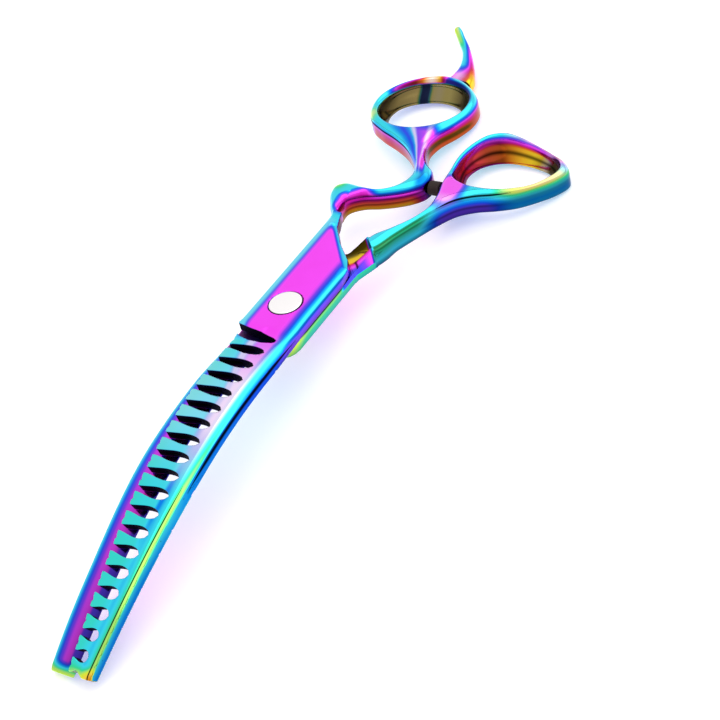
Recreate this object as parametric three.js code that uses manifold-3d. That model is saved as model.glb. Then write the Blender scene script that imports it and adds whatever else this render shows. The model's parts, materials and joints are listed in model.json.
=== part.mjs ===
// Curved thinning shears with a fixed finger rest, in millimetres.
//
// Shears frame, used by every function here: the blades point along +X, the handles along -X,
// and the pivot axis is parallel to Z. The two halves meet on the ride plane, z = 0.
// The toothed half lies above it and the plain half below it. The whole group is then turned
// so that the blade tips and both rings stand on one level surface, and moved so that the
// middle of the pivot screw's face is the origin.
import * as THREE from 'three';
import { mergeVertices } from 'three/addons/utils/BufferGeometryUtils.js';
import Module from 'manifold-3d';

const wasm = await Module();
wasm.setup();

// How the closed shears lie on a level surface.
const restPitch = THREE.MathUtils.degToRad(-6.7);
const restRoll = THREE.MathUtils.degToRad(-4.25);

// Clearances.
const gap = 0.3; // between pieces that rest on each other or fit in each other
const halfGap = gap / 2; // from the ride plane to each half

// Blades. Distances along a blade are measured on the toothed blade's outer face.
const plateThickness = 2.6; // of a blade or a shank, from the ride plane to its outer face
const edgeThickness = 0.7; // of the plain blade at its cutting edge
const toothThickness = 2.4; // of a tooth at its tip
const tipThinning = 0.1; // how much thinner the plates are at the tips
const bendStart = 17.6; // where the blades leave the plane and curve down
const bendRadius = 130; // of the toothed blade's outer face
const shankHalfWidth = 7.3;
const toothedTip = 93.8;
const plainTip = 94.4;
const plainHeel = 14; // where the plain blade's cutting edge begins
const plainRoot = 13; // where it leaves the shank's solid

// Teeth. Notch 0 is the wide one beside the shank.
const toothCount = 19;
const toothPitch = 4.41;
const secondNotch = 14.65;
const notchMouth = 0.7; // half of a notch's width between two tooth tips
const notchBelly = 1.35; // half of its widest width
const notchSwell = 0.62; // where along its depth a notch is widest
const grooveHalfWidth = 0.5; // of the shallow groove in a tooth's tip, which holds the hair
const grooveDepth = 0.35;
const teethStart = 10.2; // where the thick shank ends

// Handles.
const handleHalfThickness = 2.8; // above and below the ride plane
const handleBevel = 0.6;
const fingerHoleLean = 1.5; // how much narrower each ring's hole is at its underside, per side
const thumbHoleLean = 2.4;
const holeLeanTop = 1.2; // the hole's wall leans between these two heights
const holeLeanBottom = -2.4;
const holeLeanSteps = 14;
const holeFlare = 0.6; // how much each hole widens over its last millimetre, at the top
// Where each handle is welded to its shank, and which way the shank lies from there.
const fingerWeld = { x: -31.8, y: -6.6, toShank: 0.3 };
const thumbWeld = { x: -25.9, y: 7, toShank: -0.8 };

// Pivot, from the head down.
const pivot = { x: -1.2, y: -0.35 };
const headRadius = 3.8;
const headTop = 2.8;
const headBottom = 1.6;
const shaftRadius = 2;
const bushingThickness = 0.8;
const bushingRadius = shaftRadius + gap + bushingThickness;
const boreRadius = bushingRadius + gap;
const bushingTop = headBottom - 2 * gap;
const bushingBottom = -2.4;
const washerRadius = 5.2;
const washerBore = boreRadius + 0.2;
const washerThickness = 0.5;
const thrustTop = -plateThickness - gap;
const thrustThickness = 0.4;
const thrustRadius = 4.2;
const springTop = thrustTop - thrustThickness - gap;
const springThickness = 0.3;
const springRadius = 3.9;
const springWave = 0.1; // how far the spring's crests rise and fall
const nutTop = springTop - springThickness - 2 * springWave - gap;
const nutThickness = 1.2;
const nutRadius = 4.4;
const nutGrips = 10;
const nutGripRadius = 0.6;
const nutGripCentre = nutRadius + 0.2;
const shaftEnd = nutTop - nutThickness + 0.2;
const headBevel = 0.25;

// Bumper between the two handles.
const bumperX = -50.2;
const bumperHeadRadius = 1.7;
const bumperStemRadius = 1.0;
const bumperFront = 8.5;
const bumperBack = 11.2;
const bumperStemEnd = 14.6;

// Finger rest.
const restHalfThickness = 1.7;
const restBevel = 0.4;
const restRise = 3.1; // how far its tip curves up
const restFoot = { x: -90.95, y: -5, toShank: -0.22 }; // where it stands off the ring
const restTipX = -110;
const restStud = { x: -89.4, y: -5.6, radius: 1.1, length: 3.4 };
const studEntry = 0.4; // how far the hole for the stud opens past the stud's foot
const studHoleLength = restStud.length + 2;

const { lerp, smoothstep } = THREE.MathUtils;

// ---------- Outlines ----------

// The toothed blade's back, from the pivot to the tip.
function toothedBackY(s) {
  const bulge = smoothstep(s, 0, 20) * 0.7;
  const taper = s > 45 ? 3.0 * ((s - 45) / 49) ** 2 : 0;
  return shankHalfWidth + bulge - taper;
}

// The line through the tooth tips.
function toothTipY(s) {
  const t = THREE.MathUtils.clamp((s - 19) / 79, 0, 1);
  return -5.4 + 4.6 * (1 - Math.cos(Math.PI * t)) / 2;
}

// The line through the closed ends of the notches.
function notchEndY(s) {
  return s > 50 ? 4.7 - 1.85 * ((s - 50) / 39) ** 3 : 4.7 - 0.5 * ((50 - s) / 36) ** 2;
}

// The plain blade's back, opposite its cutting edge.
function plainBackY(s) {
  return -8.7 + 1.7 * smoothstep(s, 40, 90);
}

// The plain blade's cutting edge.
function plainEdgeY(s) {
  return -0.6 + 0.022 * (s - 14);
}

// Half of a notch's width at depth t, from 0 at its mouth to 1 at its closed end.
function notchHalfWidth(t) {
  if (t < notchSwell) return lerp(notchMouth, notchBelly, smoothstep(t, 0, notchSwell));
  const u = (t - notchSwell) / (1 - notchSwell);
  return notchBelly * Math.sqrt(Math.max(0, 1 - u * u));
}

const notchSteps = [0, 0.2, 0.4, 0.62, 0.8, 0.9, 0.97];

// One flank of the notch centred at s, from its mouth to its closed end. Side is 1 or -1.
function notchFlank(s, side) {
  const mouthY = toothTipY(s);
  const endY = notchEndY(s);
  const points = notchSteps.map((t) => [s + side * notchHalfWidth(t), lerp(mouthY, endY, t)]);
  points.push([s, endY]);
  return points;
}

const notchX = (n) => secondNotch + (n - 1) * toothPitch;

// A tooth's tip, with its groove.
function toothTip(from, to) {
  const middle = (from + to) / 2;
  const tipY = toothTipY(middle);
  return [[middle - grooveHalfWidth, tipY], [middle, tipY + grooveDepth], [middle + grooveHalfWidth, tipY]];
}

function shapeOf(points) {
  return new THREE.Shape(points.map(([x, y]) => new THREE.Vector2(x, y)));
}

// A closed smooth loop, anticlockwise.
function smoothLoop(points, divisions) {
  const corners = points.map(([x, y]) => new THREE.Vector3(x, y, 0));
  const loop = new THREE.CatmullRomCurve3(corners, true).getPoints(divisions).slice(0, -1);
  const flat = loop.map((p) => new THREE.Vector2(p.x, p.y));
  return THREE.ShapeUtils.isClockWise(flat) ? flat.reverse() : flat;
}

// The shank and first tooth of the toothed half, up to the second notch.
function toothedShankOutline() {
  const heel = [
    [5.6, -shankHalfWidth], [7.2, -7.4], [7.9, -3.6], [8.6, 0.6], [9.2, 3.1], [10.0, 3.9],
    [10.9, 3.5], [11.6, 1.3], [11.8, -1.8], [11.2, -4.2], [10.4, -5.6],
  ];
  const cheek = [[-12, shankHalfWidth], [-16, 6.6], [-19, 4.9], [-24, -0.1], [-28.6, -3.5], [-31.8, -5.1]];
  return [
    [-31.1, -7.6], [-30, -shankHalfWidth], ...heel, ...toothTip(11, 14.2), ...notchFlank(notchX(1), -1),
    [notchX(1), toothedBackY(notchX(1))], [0, shankHalfWidth], ...cheek,
  ];
}

// One tooth with the blade behind it, from notch n to the next.
function toothOutline(n) {
  const start = notchX(n);
  const end = notchX(n + 1);
  return [
    ...notchFlank(start, 1).reverse(), ...toothTip(start, end), ...notchFlank(end, -1),
    [end, toothedBackY(end)], [start, toothedBackY(start)],
  ];
}

// The last tooth, cut off square by the tip, which leaves part of a notch.
function lastToothOutline() {
  const start = notchX(toothCount - 1);
  const notch = notchFlank(notchX(toothCount), -1).filter(([x]) => x < toothedTip);
  return [
    ...notchFlank(start, 1).reverse(), ...toothTip(start, notchX(toothCount)), ...notch,
    [toothedTip, 2.6], [toothedTip, 4.2], [toothedTip - 0.8, toothedBackY(toothedTip)],
    [start, toothedBackY(start)],
  ];
}

// The shank of the plain half, with its rounded heel and the recess floor behind it.
function plainShankOutline() {
  const heel = [[6.5, 7.2], [9.4, 6.2], [11.2, 3.6], [12.2, 1.0]];
  const recess = [[-27.6, 4.9], [-28.2, 1.6], [-25.6, -3.4], [-21.5, -6.5]];
  return [
    [-17, -7.2], [0, -7.3], [6, -8.2], [12, plainBackY(12)], [plainHeel, plainBackY(plainHeel)],
    [plainHeel, plainEdgeY(plainHeel)], ...heel.reverse(),
    [0, 7.2], [-18, 7.2], [-23.2, 8.4], ...recess,
  ];
}

// The finger handle: out to the horn, along the neck, round the ring, back to the stop and
// along the inside of the arm.
const fingerOutline = [
  [-27.6, -5.8], [-28.8, -7.1], [-32.3, -7.8], [-36, -10.3], [-40, -12.6], [-43, -12.8],
  [-44.7, -10.5], [-44.4, -6], [-44.5, -2], [-46.5, 1.2], [-50, 2.8], [-54, 2.1], [-58, -0.8],
  [-61.5, -4.6], [-64.2, -9], [-66.8, -14.3], [-70.2, -19.1], [-75.1, -21.5], [-80, -21.6],
  [-84.8, -19.3], [-88.7, -14.9], [-90.7, -9.9], [-90.1, -4.6], [-87.1, 0.3], [-82.8, 3.9], [-78, 4.7],
  [-73, 3.4], [-68, 1.1], [-63.8, 0.6], [-60.2, 1.9], [-56.6, 4.4], [-54.2, 7], [-51.5, 8.1],
  [-48.5, 7.7], [-46, 5.5], [-44, 2.4], [-42.2, -1], [-40.6, -4.2], [-38.2, -6.3], [-35, -6.5],
  [-32, -5.3], [-28.6, -4.2],
];
const fingerHole = { x: -77.6, y: -8.55, rx: 9.2, ry: 10.8, turn: 0.2 };

// The thumb handle: the arm, and round the drop-shaped ring.
const thumbOutline = [
  [-22.6, 6.8], [-24.2, 4.8], [-28.4, 5.6], [-32, 8.4], [-36.5, 11.4], [-41, 12.9],
  [-45.5, 12.6], [-50, 11.5], [-55, 10.9], [-60.5, 10.3], [-66, 11.2], [-70.3, 13.6],
  [-72, 17.5], [-71.2, 22], [-69.3, 27], [-67.1, 31.8], [-64.8, 35.9], [-61.5, 38.3],
  [-57.7, 36.9], [-54, 33.8], [-50.8, 30.2], [-48.6, 26], [-46.8, 21.5], [-44.3, 18],
  [-40, 15.3], [-35, 13], [-30, 10.9], [-24.4, 8.8],
];
const thumbHole = [
  [-53.5, 13.9], [-58, 13], [-63, 13.4], [-67.2, 15.2], [-68.9, 19], [-68.2, 24], [-66.3, 29.5],
  [-64.1, 33.7], [-60.9, 35.6], [-57, 34.2], [-53.6, 31], [-51.3, 26.5], [-50.6, 21.5], [-51.1, 17],
];

// The finger rest, a flat horn that tapers and hooks to one side.
const restOutline = [
  [-87, -6.6], [-89.6, -8.8], [-92.6, -8.6], [-95.5, -8.5], [-98.5, -9.1], [-102, -10.6],
  [-105, -13], [-107.6, -15.2], [-109.1, -16.3], [restTipX, -15.6], [-109.2, -14.2],
  [-107, -12.2], [-104.5, -9.9], [-101.5, -7.6], [-98, -5.3], [-94.5, -3.3], [-91.6, -2],
  [-88.6, -2.2],
];

// ---------- Solids ----------

function solid(geometry) {
  const bare = geometry.index ? geometry.clone() : geometry;
  bare.deleteAttribute('normal');
  bare.deleteAttribute('uv');
  const merged = mergeVertices(bare, 1e-4);
  const vertProperties = new Float32Array(merged.attributes.position.array);
  const triVerts = new Uint32Array(merged.index.array);
  return new wasm.Manifold(new wasm.Mesh({ numProp: 3, vertProperties, triVerts }));
}

function geometryOf(manifold) {
  const mesh = manifold.getMesh();
  const geometry = new THREE.BufferGeometry();
  geometry.setAttribute('position', new THREE.BufferAttribute(mesh.vertProperties, 3));
  geometry.setIndex(new THREE.BufferAttribute(mesh.triVerts, 1));
  return geometry;
}

// Moves every vertex of a geometry to where move(x, y, z) puts it.
function reshape(geometry, move) {
  const position = geometry.attributes.position;
  for (let i = 0; i < position.count; i += 1) {
    position.setXYZ(i, ...move(position.getX(i), position.getY(i), position.getZ(i)));
  }
  return geometry;
}

// A plate between two heights.
function plate(outline, bottom, top) {
  const options = { depth: top - bottom, bevelEnabled: false };
  return new THREE.ExtrudeGeometry(shapeOf(outline), options).translate(0, 0, bottom);
}

// A plate with rounded edges, as thick as a handle.
function handlePlate(outline) {
  const shape = new THREE.Shape(outline);
  const depth = 2 * (handleHalfThickness - handleBevel);
  const options = {
    depth,
    bevelThickness: handleBevel,
    bevelSize: handleBevel,
    bevelOffset: -handleBevel,
    bevelSegments: 2,
    curveSegments: 1,
  };
  return new THREE.ExtrudeGeometry(shape, options).translate(0, 0, -depth / 2);
}

// What a ring's hole takes away. Its wall leans in towards the underside, by narrowing at most,
// and flares where it meets the top.
function ringHole(outline, narrowing) {
  const centre = outline.reduce((sum, p) => sum.add(p), new THREE.Vector2()).divideScalar(outline.length);
  const radius = outline.reduce((sum, p) => sum + p.distanceTo(centre), 0) / outline.length;
  const height = 2 * handleHalfThickness + 2;
  const geometry = new THREE.ExtrudeGeometry(new THREE.Shape(outline), {
    depth: height,
    steps: holeLeanSteps,
    bevelEnabled: false,
  });
  geometry.translate(0, 0, -height / 2);
  return reshape(geometry, (x, y, z) => {
    const leaning = narrowing * (1 - smoothstep(z, holeLeanBottom, holeLeanTop));
    const flare = holeFlare * smoothstep(z, handleHalfThickness - 1, handleHalfThickness);
    const scale = 1 + (flare - leaning) / radius;
    return [centre.x + (x - centre.x) * scale, centre.y + (y - centre.y) * scale, z];
  });
}

// A cylinder round the pivot axis.
function cylinder(radius, bottom, top, segments = 40) {
  const geometry = new THREE.CylinderGeometry(radius, radius, top - bottom, segments);
  return geometry.rotateX(Math.PI / 2).translate(pivot.x, pivot.y, (top + bottom) / 2);
}

// Lays a flat plate along the curve of the blades.
function bend(x, y, z) {
  const angle = Math.max(0, x - bendStart) / bendRadius;
  const radius = bendRadius + z - plateThickness;
  const centre = plateThickness - bendRadius;
  const height = angle > 0 ? centre + radius * Math.cos(angle) : z;
  return [Math.min(x, bendStart) + radius * Math.sin(angle), y, height];
}

// The toothed blade's outer face falls towards its tooth tips and its point.
function shapeToothed(x, y, z) {
  const alongTaper = tipThinning * smoothstep(x, bendStart, toothedTip);
  const toTooth = 1 - smoothstep(y, toothTipY(x), notchEndY(x) - 0.5);
  const onTooth = x > teethStart ? lerp(0, plateThickness - toothThickness, toTooth) : 0;
  return bend(x, y, z > 1 ? z - alongTaper - onTooth : z);
}

// Puts a point of the unit box, with its corner at the origin, on the plain blade.
// Its outer face rises from the back to the cutting edge.
function shapePlain(along, across, up) {
  const s = lerp(plainRoot, plainTip, along);
  const y = lerp(plainBackY(s), plainEdgeY(s), across);
  const thickness = plateThickness - tipThinning * smoothstep(s, bendStart, plainTip);
  const bottom = lerp(-thickness, -edgeThickness, s > plainHeel ? smoothstep(across, 0.25, 1) : 0);
  return bend(s, y, lerp(bottom, -halfGap, up));
}

// ---------- Pieces ----------

function toothedBlade() {
  const slices = [toothedShankOutline(), lastToothOutline()];
  for (let n = 1; n < toothCount - 1; n += 1) slices.push(toothOutline(n));
  let blade = null;
  for (const outline of slices) {
    const slice = solid(reshape(plate(outline, halfGap, plateThickness), shapeToothed));
    blade = blade ? blade.add(slice) : slice;
  }
  const headRecess = solid(cylinder(headRadius + gap, headBottom - gap, headTop));
  const bore = solid(cylinder(boreRadius, -1, headTop));
  return geometryOf(blade.subtract(headRecess).subtract(bore));
}

function plainBlade() {
  const shank = solid(plate(plainShankOutline(), -plateThickness, -halfGap));
  const box = new THREE.BoxGeometry(1, 1, 1, 18, 4, 1).translate(0.5, 0.5, 0.5);
  const blade = shank.add(solid(reshape(box, shapePlain)));
  const washerRecess = solid(cylinder(washerRadius + gap, -halfGap - gap - washerThickness, 1));
  const bore = solid(cylinder(boreRadius, -plateThickness - 1, 1));
  return geometryOf(blade.subtract(washerRecess).subtract(bore));
}

// A cylinder along a direction in the shears' plane, from one point outwards.
function pin(x, y, angle, radius, length) {
  const geometry = new THREE.CylinderGeometry(radius, radius, length, 20);
  return geometry.rotateZ(angle - Math.PI / 2).translate(
    x + Math.cos(angle) * length / 2, y + Math.sin(angle) * length / 2, 0,
  );
}

// Takes away what lies past a weld, on its shank's side.
function cutAtWeld(handle, weld) {
  const block = new THREE.BoxGeometry(20, 40, 20).translate(10, 0, 0).rotateZ(weld.toShank);
  return handle.subtract(solid(block.translate(weld.x, weld.y, 0)));
}

function fingerHandle() {
  const { x, y, rx, ry, turn } = fingerHole;
  const hole = new THREE.EllipseCurve(x, y, rx, ry, 0, 2 * Math.PI, false, turn).getPoints(44).slice(0, -1);
  const plain = solid(handlePlate(smoothLoop(fingerOutline, 96)));
  const handle = plain.subtract(solid(ringHole(hole, fingerHoleLean)));
  const holeX = restStud.x + studEntry;
  const studHole = pin(holeX, restStud.y, Math.PI, restStud.radius + gap, studHoleLength);
  return geometryOf(cutAtWeld(handle, fingerWeld).subtract(solid(studHole)));
}

function thumbHandle() {
  const plain = solid(handlePlate(smoothLoop(thumbOutline, 76)));
  const handle = plain.subtract(solid(ringHole(smoothLoop(thumbHole, 44), thumbHoleLean)));
  const socketLength = bumperStemEnd + gap - bumperFront - 1;
  const socket = pin(bumperX, bumperFront + 1, Math.PI / 2, bumperStemRadius + gap, socketLength);
  return geometryOf(cutAtWeld(handle, thumbWeld).subtract(solid(socket)));
}

function fingerRest() {
  const geometry = new THREE.ExtrudeGeometry(new THREE.Shape(smoothLoop(restOutline, 40)), {
    depth: 2 * (restHalfThickness - restBevel),
    bevelThickness: restBevel,
    bevelSize: restBevel,
    bevelOffset: -restBevel,
    bevelSegments: 2,
    curveSegments: 1,
  });
  geometry.translate(0, 0, restBevel - restHalfThickness);
  reshape(geometry, (x, y, z) => {
    const t = THREE.MathUtils.clamp((restFoot.x - x) / (restFoot.x - restTipX), 0, 1);
    return [x, y, z * lerp(1, 0.45, t) + restRise * t * t];
  });
  const stud = pin(restStud.x, restStud.y, Math.PI, restStud.radius, restStud.length);
  return geometryOf(cutAtWeld(solid(geometry), restFoot).add(solid(stud)));
}

// A piece turned about the pivot axis.
function latheZ(profile, segments = 48) {
  const points = profile.map(([r, z]) => new THREE.Vector2(r, z));
  return new THREE.LatheGeometry(points, segments).rotateX(Math.PI / 2).translate(pivot.x, pivot.y, 0);
}

// A ring with a square section, between two heights.
function flatRing(inner, outer, bottom, top, segments = 48) {
  return latheZ([[inner, bottom], [outer, bottom], [outer, top], [inner, top], [inner, bottom]], segments);
}

function pivotScrew() {
  return latheZ([
    [0, shaftEnd], [shaftRadius, shaftEnd], [shaftRadius, headBottom], [headRadius, headBottom],
    [headRadius, headTop - headBevel], [headRadius - headBevel, headTop], [0, headTop],
  ]);
}

// A spring washer with a crest every third of a turn.
function tensionSpring() {
  const ring = flatRing(shaftRadius + gap, springRadius, springTop - springThickness, springTop, 36);
  return reshape(ring, (x, y, z) => {
    const angle = Math.atan2(y - pivot.y, x - pivot.x);
    return [x, y, z + springWave * (Math.cos(3 * angle) - 1)];
  });
}

function tensionNut() {
  const bottom = nutTop - nutThickness;
  let nut = solid(flatRing(shaftRadius + gap, nutRadius, bottom, nutTop, 60));
  for (let i = 0; i < nutGrips; i += 1) {
    const angle = i * 2 * Math.PI / nutGrips;
    const groove = cylinder(nutGripRadius, bottom - 1, nutTop + 1, 12);
    groove.translate(nutGripCentre * Math.cos(angle), nutGripCentre * Math.sin(angle), 0);
    nut = nut.subtract(solid(groove));
  }
  return geometryOf(nut);
}

function bumper() {
  const head = pin(bumperX, bumperFront, Math.PI / 2, bumperHeadRadius, bumperBack - bumperFront);
  const stem = pin(bumperX, bumperFront, Math.PI / 2, bumperStemRadius, bumperStemEnd - bumperFront);
  return geometryOf(solid(head).add(solid(stem)));
}

// ---------- Assembly ----------

function metal(color, roughness = 0.18) {
  return new THREE.MeshStandardMaterial({ color, roughness, metalness: 1 });
}

const coating = { blade: 0x58cfe6, plainBlade: 0xb24fe0, handle: 0x7a62e8, rest: 0xc06ad8 };
const steel = metal(0xd9d6df, 0.25);
const polymer = new THREE.MeshStandardMaterial({ color: 0xe9e4d6, roughness: 0.5, metalness: 0 });
const rubber = new THREE.MeshStandardMaterial({ color: 0x2c2622, roughness: 0.8, metalness: 0 });

const shears = new THREE.Group();

function addPiece(name, geometry, material) {
  const mesh = new THREE.Mesh(geometry, material);
  mesh.name = name;
  shears.add(mesh);
}

addPiece('toothed_blade', toothedBlade(), metal(coating.blade));
addPiece('finger_handle', fingerHandle(), metal(coating.handle));
addPiece('finger_rest', fingerRest(), metal(coating.rest));
addPiece('plain_blade', plainBlade(), metal(coating.plainBlade));
addPiece('thumb_handle', thumbHandle(), metal(coating.handle));
addPiece('pivot_screw', pivotScrew(), steel);
addPiece('pivot_bushing', flatRing(shaftRadius + gap, bushingRadius, bushingBottom, bushingTop), polymer);
addPiece('ride_washer', flatRing(
  washerBore, washerRadius, -halfGap - washerThickness, -halfGap,
), polymer);
addPiece('thrust_washer', flatRing(
  shaftRadius + gap, thrustRadius, thrustTop - thrustThickness, thrustTop,
), steel);
addPiece('tension_spring', tensionSpring(), steel);
addPiece('tension_nut', tensionNut(), steel);
addPiece('bumper', bumper(), rubber);

shears.position.set(-pivot.x, -pivot.y, -headTop);
const level = new THREE.Group();
level.add(shears);
level.rotation.set(restRoll, restPitch, 0, 'YXZ');

export default level;
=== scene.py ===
"""Thinning shears with a rainbow coating: the looks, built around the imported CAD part.

Every shape is made in millimetres in the shears' own flat frame: the pivot axis runs along Z
through PIVOT, the blades point along +X, and the two halves ride on either side of z = 0. Then
the blades are bent down and the whole is tilted onto the floor, exactly as the CAD part is.
"""
import json
import math

import bmesh
import bpy
import numpy as np
from mathutils import Matrix, Vector

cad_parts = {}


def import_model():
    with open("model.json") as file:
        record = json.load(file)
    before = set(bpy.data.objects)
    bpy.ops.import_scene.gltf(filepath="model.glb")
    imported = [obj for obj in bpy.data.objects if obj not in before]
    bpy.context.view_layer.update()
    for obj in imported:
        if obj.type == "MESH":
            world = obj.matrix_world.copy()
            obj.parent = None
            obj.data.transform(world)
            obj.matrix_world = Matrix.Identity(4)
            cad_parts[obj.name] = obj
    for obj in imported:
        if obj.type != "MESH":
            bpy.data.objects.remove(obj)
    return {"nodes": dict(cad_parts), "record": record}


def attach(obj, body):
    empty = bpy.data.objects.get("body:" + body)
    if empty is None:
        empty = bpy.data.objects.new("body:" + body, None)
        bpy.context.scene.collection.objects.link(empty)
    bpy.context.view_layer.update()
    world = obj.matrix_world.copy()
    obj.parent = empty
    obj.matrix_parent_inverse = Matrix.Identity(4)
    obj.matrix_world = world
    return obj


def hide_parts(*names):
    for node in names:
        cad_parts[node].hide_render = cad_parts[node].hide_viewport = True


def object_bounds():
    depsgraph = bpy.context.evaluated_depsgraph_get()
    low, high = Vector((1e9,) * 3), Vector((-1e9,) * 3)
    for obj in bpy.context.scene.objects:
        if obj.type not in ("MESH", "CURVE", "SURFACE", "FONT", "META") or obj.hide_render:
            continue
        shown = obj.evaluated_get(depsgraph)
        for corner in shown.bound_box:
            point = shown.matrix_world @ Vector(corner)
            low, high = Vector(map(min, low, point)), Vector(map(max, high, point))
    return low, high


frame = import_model()
CAD_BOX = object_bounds()

# ---------- Dimensions, in millimetres and radians ----------

STEP = 0.24  # grid of the modelled surfaces
PIVOT = (-1.2, -0.35)
HEAD_TOP = 2.8  # the screw's face over the ride plane
HEAD_BOTTOM = 1.6
SHAFT_RADIUS = 2.0
SHAFT_END = -5.4
HALF_GAP = 0.15
PLATE = 2.6  # from the ride plane to either half's outer face
EDGE = 0.7  # the same, at the plain blade's cutting edge
TOOTH = 2.4  # and at the ends of the teeth
TIP_THINNING = 0.1
BEND_START = 17.6  # from here on the blades curve down
BEND_RADIUS = 130.0
SHANK_HALF = 7.3
TOOTHED_TIP = 93.8
PLAIN_TIP = 94.4
PLAIN_ROOT = 13.0
TOOTH_COUNT = 19
TOOTH_PITCH = 4.41
SECOND_NOTCH = 14.65
NOTCH_MOUTH = 0.7  # half a notch's width between the tooth tips
NOTCH_BELLY = 1.35  # and at its widest
NOTCH_SWELL = 0.62  # the share of its length up to there
HANDLE_HALF = 2.8
HANDLE_ROUND = 0.8
HEAD_RADIUS = 3.8
HEAD_RECESS = 3.95
HEAD_FLOOR = 1.3
BORE = 3.4
WASHER_RECESS = 5.5
WASHER_FLOOR = -0.95
NUT_TOP = -4.4
NUT_BOTTOM = -5.6
NUT_RADIUS = 4.4
NUT_BORE = 2.3
NUT_GRIPS = 10
GRIP_DEPTH = 0.4
CHAMFER = 0.25
REST_TIP = -110.0
SCOOP_CORNER = (-26.9, 5.3)
SCOOP_TURN = 0.75
HORN_BEND = (-38.9, -7.4)  # where the horn meets the arm
THUMB_CENTRE = (-60.0, 23.0)
# Slanting ends: a point on each, and the angle from +X to which it faces.
FINGER_WELD = (-31.8, -6.6, 0.3)
THUMB_WELD = (-25.9, 7.0, -0.8)
REST_FOOT = (-90.95, -5.0, -0.22)

FINGER_OUTLINE = [
    (-27.6, -5.8), (-28.8, -7.1), (-32.3, -7.8), (-36, -10.3), (-40, -12.6), (-43, -12.8),
    (-44.7, -10.5), (-44.4, -6), (-44.5, -2), (-46.5, 1.2), (-50, 2.8), (-54, 2.1), (-58, -0.8),
    (-61.5, -4.6), (-64.2, -9), (-66.8, -14.3), (-70.2, -19.1), (-75.1, -21.5), (-80, -21.6),
    (-84.8, -19.3), (-88.7, -14.9), (-90.7, -9.9), (-90.1, -4.6), (-87.1, 0.3), (-82.8, 3.9),
    (-78, 4.7), (-73, 3.4), (-68, 1.1), (-63.8, 0.6), (-60.2, 1.9), (-56.6, 4.4), (-54.2, 7),
    (-51.5, 8.1), (-48.5, 7.7), (-46, 5.5), (-44, 2.4), (-42.4, -1.2), (-41.1, -5),
    (-38.9, -7.4), (-35.4, -7.1), (-32, -5.5), (-28.6, -4.2),
]
FINGER_HOLE = dict(x=-78.0, y=-8.55, rx=9.6, ry=10.9, turn=0.2)
THUMB_OUTLINE = [
    (-22.6, 6.8), (-24.2, 4.8), (-28.4, 5.6), (-32, 8.4), (-36.5, 11.4), (-41, 12.9),
    (-45.5, 12.6), (-50, 11.5), (-55, 10.9), (-60.5, 10.3), (-66, 11.2), (-70.3, 13.6),
    (-72, 17.5), (-71.2, 22), (-69.3, 27), (-67.1, 31.8), (-64.8, 35.9), (-61.5, 38.3),
    (-57.7, 36.9), (-54, 33.8), (-50.8, 30.2), (-48.6, 26), (-46.8, 21.5), (-44.3, 18),
    (-40, 15.3), (-35, 13), (-30, 10.9), (-24.4, 8.8),
]
THUMB_HOLE = [
    (-53.3, 13.3), (-58, 12.1), (-63, 12.3), (-67.8, 14.2), (-69.8, 18.6), (-69.1, 24),
    (-67, 29.6), (-64.5, 34), (-60.9, 35.8), (-57, 34.2), (-53.6, 31), (-51.3, 26.5),
    (-50.6, 21.5), (-51.1, 17),
]
THUMB_HOLE_BELOW = [
    (-54.3, 15.2), (-58.4, 13.5), (-62.4, 14.4), (-64.7, 16.8), (-66, 20.1), (-66.1, 23.9),
    (-65.5, 28.1), (-64, 32), (-60.9, 34), (-57.2, 32.6), (-54.4, 29.6), (-52.3, 25.5),
    (-51.7, 21), (-52.3, 17.4),
]
REST_OUTLINE = [
    (-87, -6.6), (-89.6, -8.8), (-92.6, -8.6), (-95.5, -8.5), (-98.5, -9.1), (-102, -10.6),
    (-105, -13), (-107.6, -15.2), (-109.1, -16.3), (-110, -15.6), (-109.2, -14.2),
    (-107, -12.2), (-104.5, -9.9), (-101.5, -7.6), (-98, -5.3), (-94.5, -3.3), (-91.6, -2),
    (-88.6, -2.2),
]

# ---------- Small maths ----------


def clamp(v):
    return np.clip(v, 0.0, 1.0)


def ramp(v, start, end):
    """Smoothly from 0 at start to 1 at end."""
    t = clamp((v - start) / (end - start))
    return t * t * (3 - 2 * t)


def hump(v, centre, width):
    """1 at the centre, fading to 0 one width away."""
    return 1 - ramp(np.abs(v - centre), 0, width)


def bands(v, *stops):
    """Straight-line blends between (position, value) stops."""
    return np.interp(v, [stop[0] for stop in stops], [stop[1] for stop in stops])


def lerp(a, b, t):
    return a + (b - a) * t


def smooth_max(a, b, k):
    h = np.maximum(k - np.abs(a - b), 0) / k
    return np.maximum(a, b) + h * h * k * 0.25


def smooth_min(a, b, k):
    return -smooth_max(-a, -b, k)


def unit(v):
    return v / np.maximum(np.linalg.norm(v, axis=-1, keepdims=True), 1e-9)


def spot(x, y, centre_x, centre_y, radius, stretch=1.0):
    """1 at the centre, fading to 0 at the radius, stretched along x."""
    return hump(np.hypot((x - centre_x) / stretch, y - centre_y), 0, radius)


def past(slant, x, y):
    """How far (x, y) lies past one of the slanting ends."""
    at_x, at_y, turn = slant
    return (x - at_x) * math.cos(turn) + (y - at_y) * math.sin(turn)


def into_scoop(x, y):
    """How far (x, y) lies inside the scoop's outer side."""
    corner_x, corner_y = SCOOP_CORNER
    return (x - corner_x) * math.sin(SCOOP_TURN) + (y - corner_y) * math.cos(SCOOP_TURN)


def along_rest(x):
    """0 at the foot of the finger rest, 1 at its tip."""
    return clamp((REST_FOOT[0] - x) / (REST_FOOT[0] - REST_TIP))


# ---------- Outlines ----------


def toothed_back(s):
    return SHANK_HALF + 0.7 * ramp(s, 0, 20) - 3.0 * np.maximum((s - 45) / 49, 0) ** 2


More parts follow.
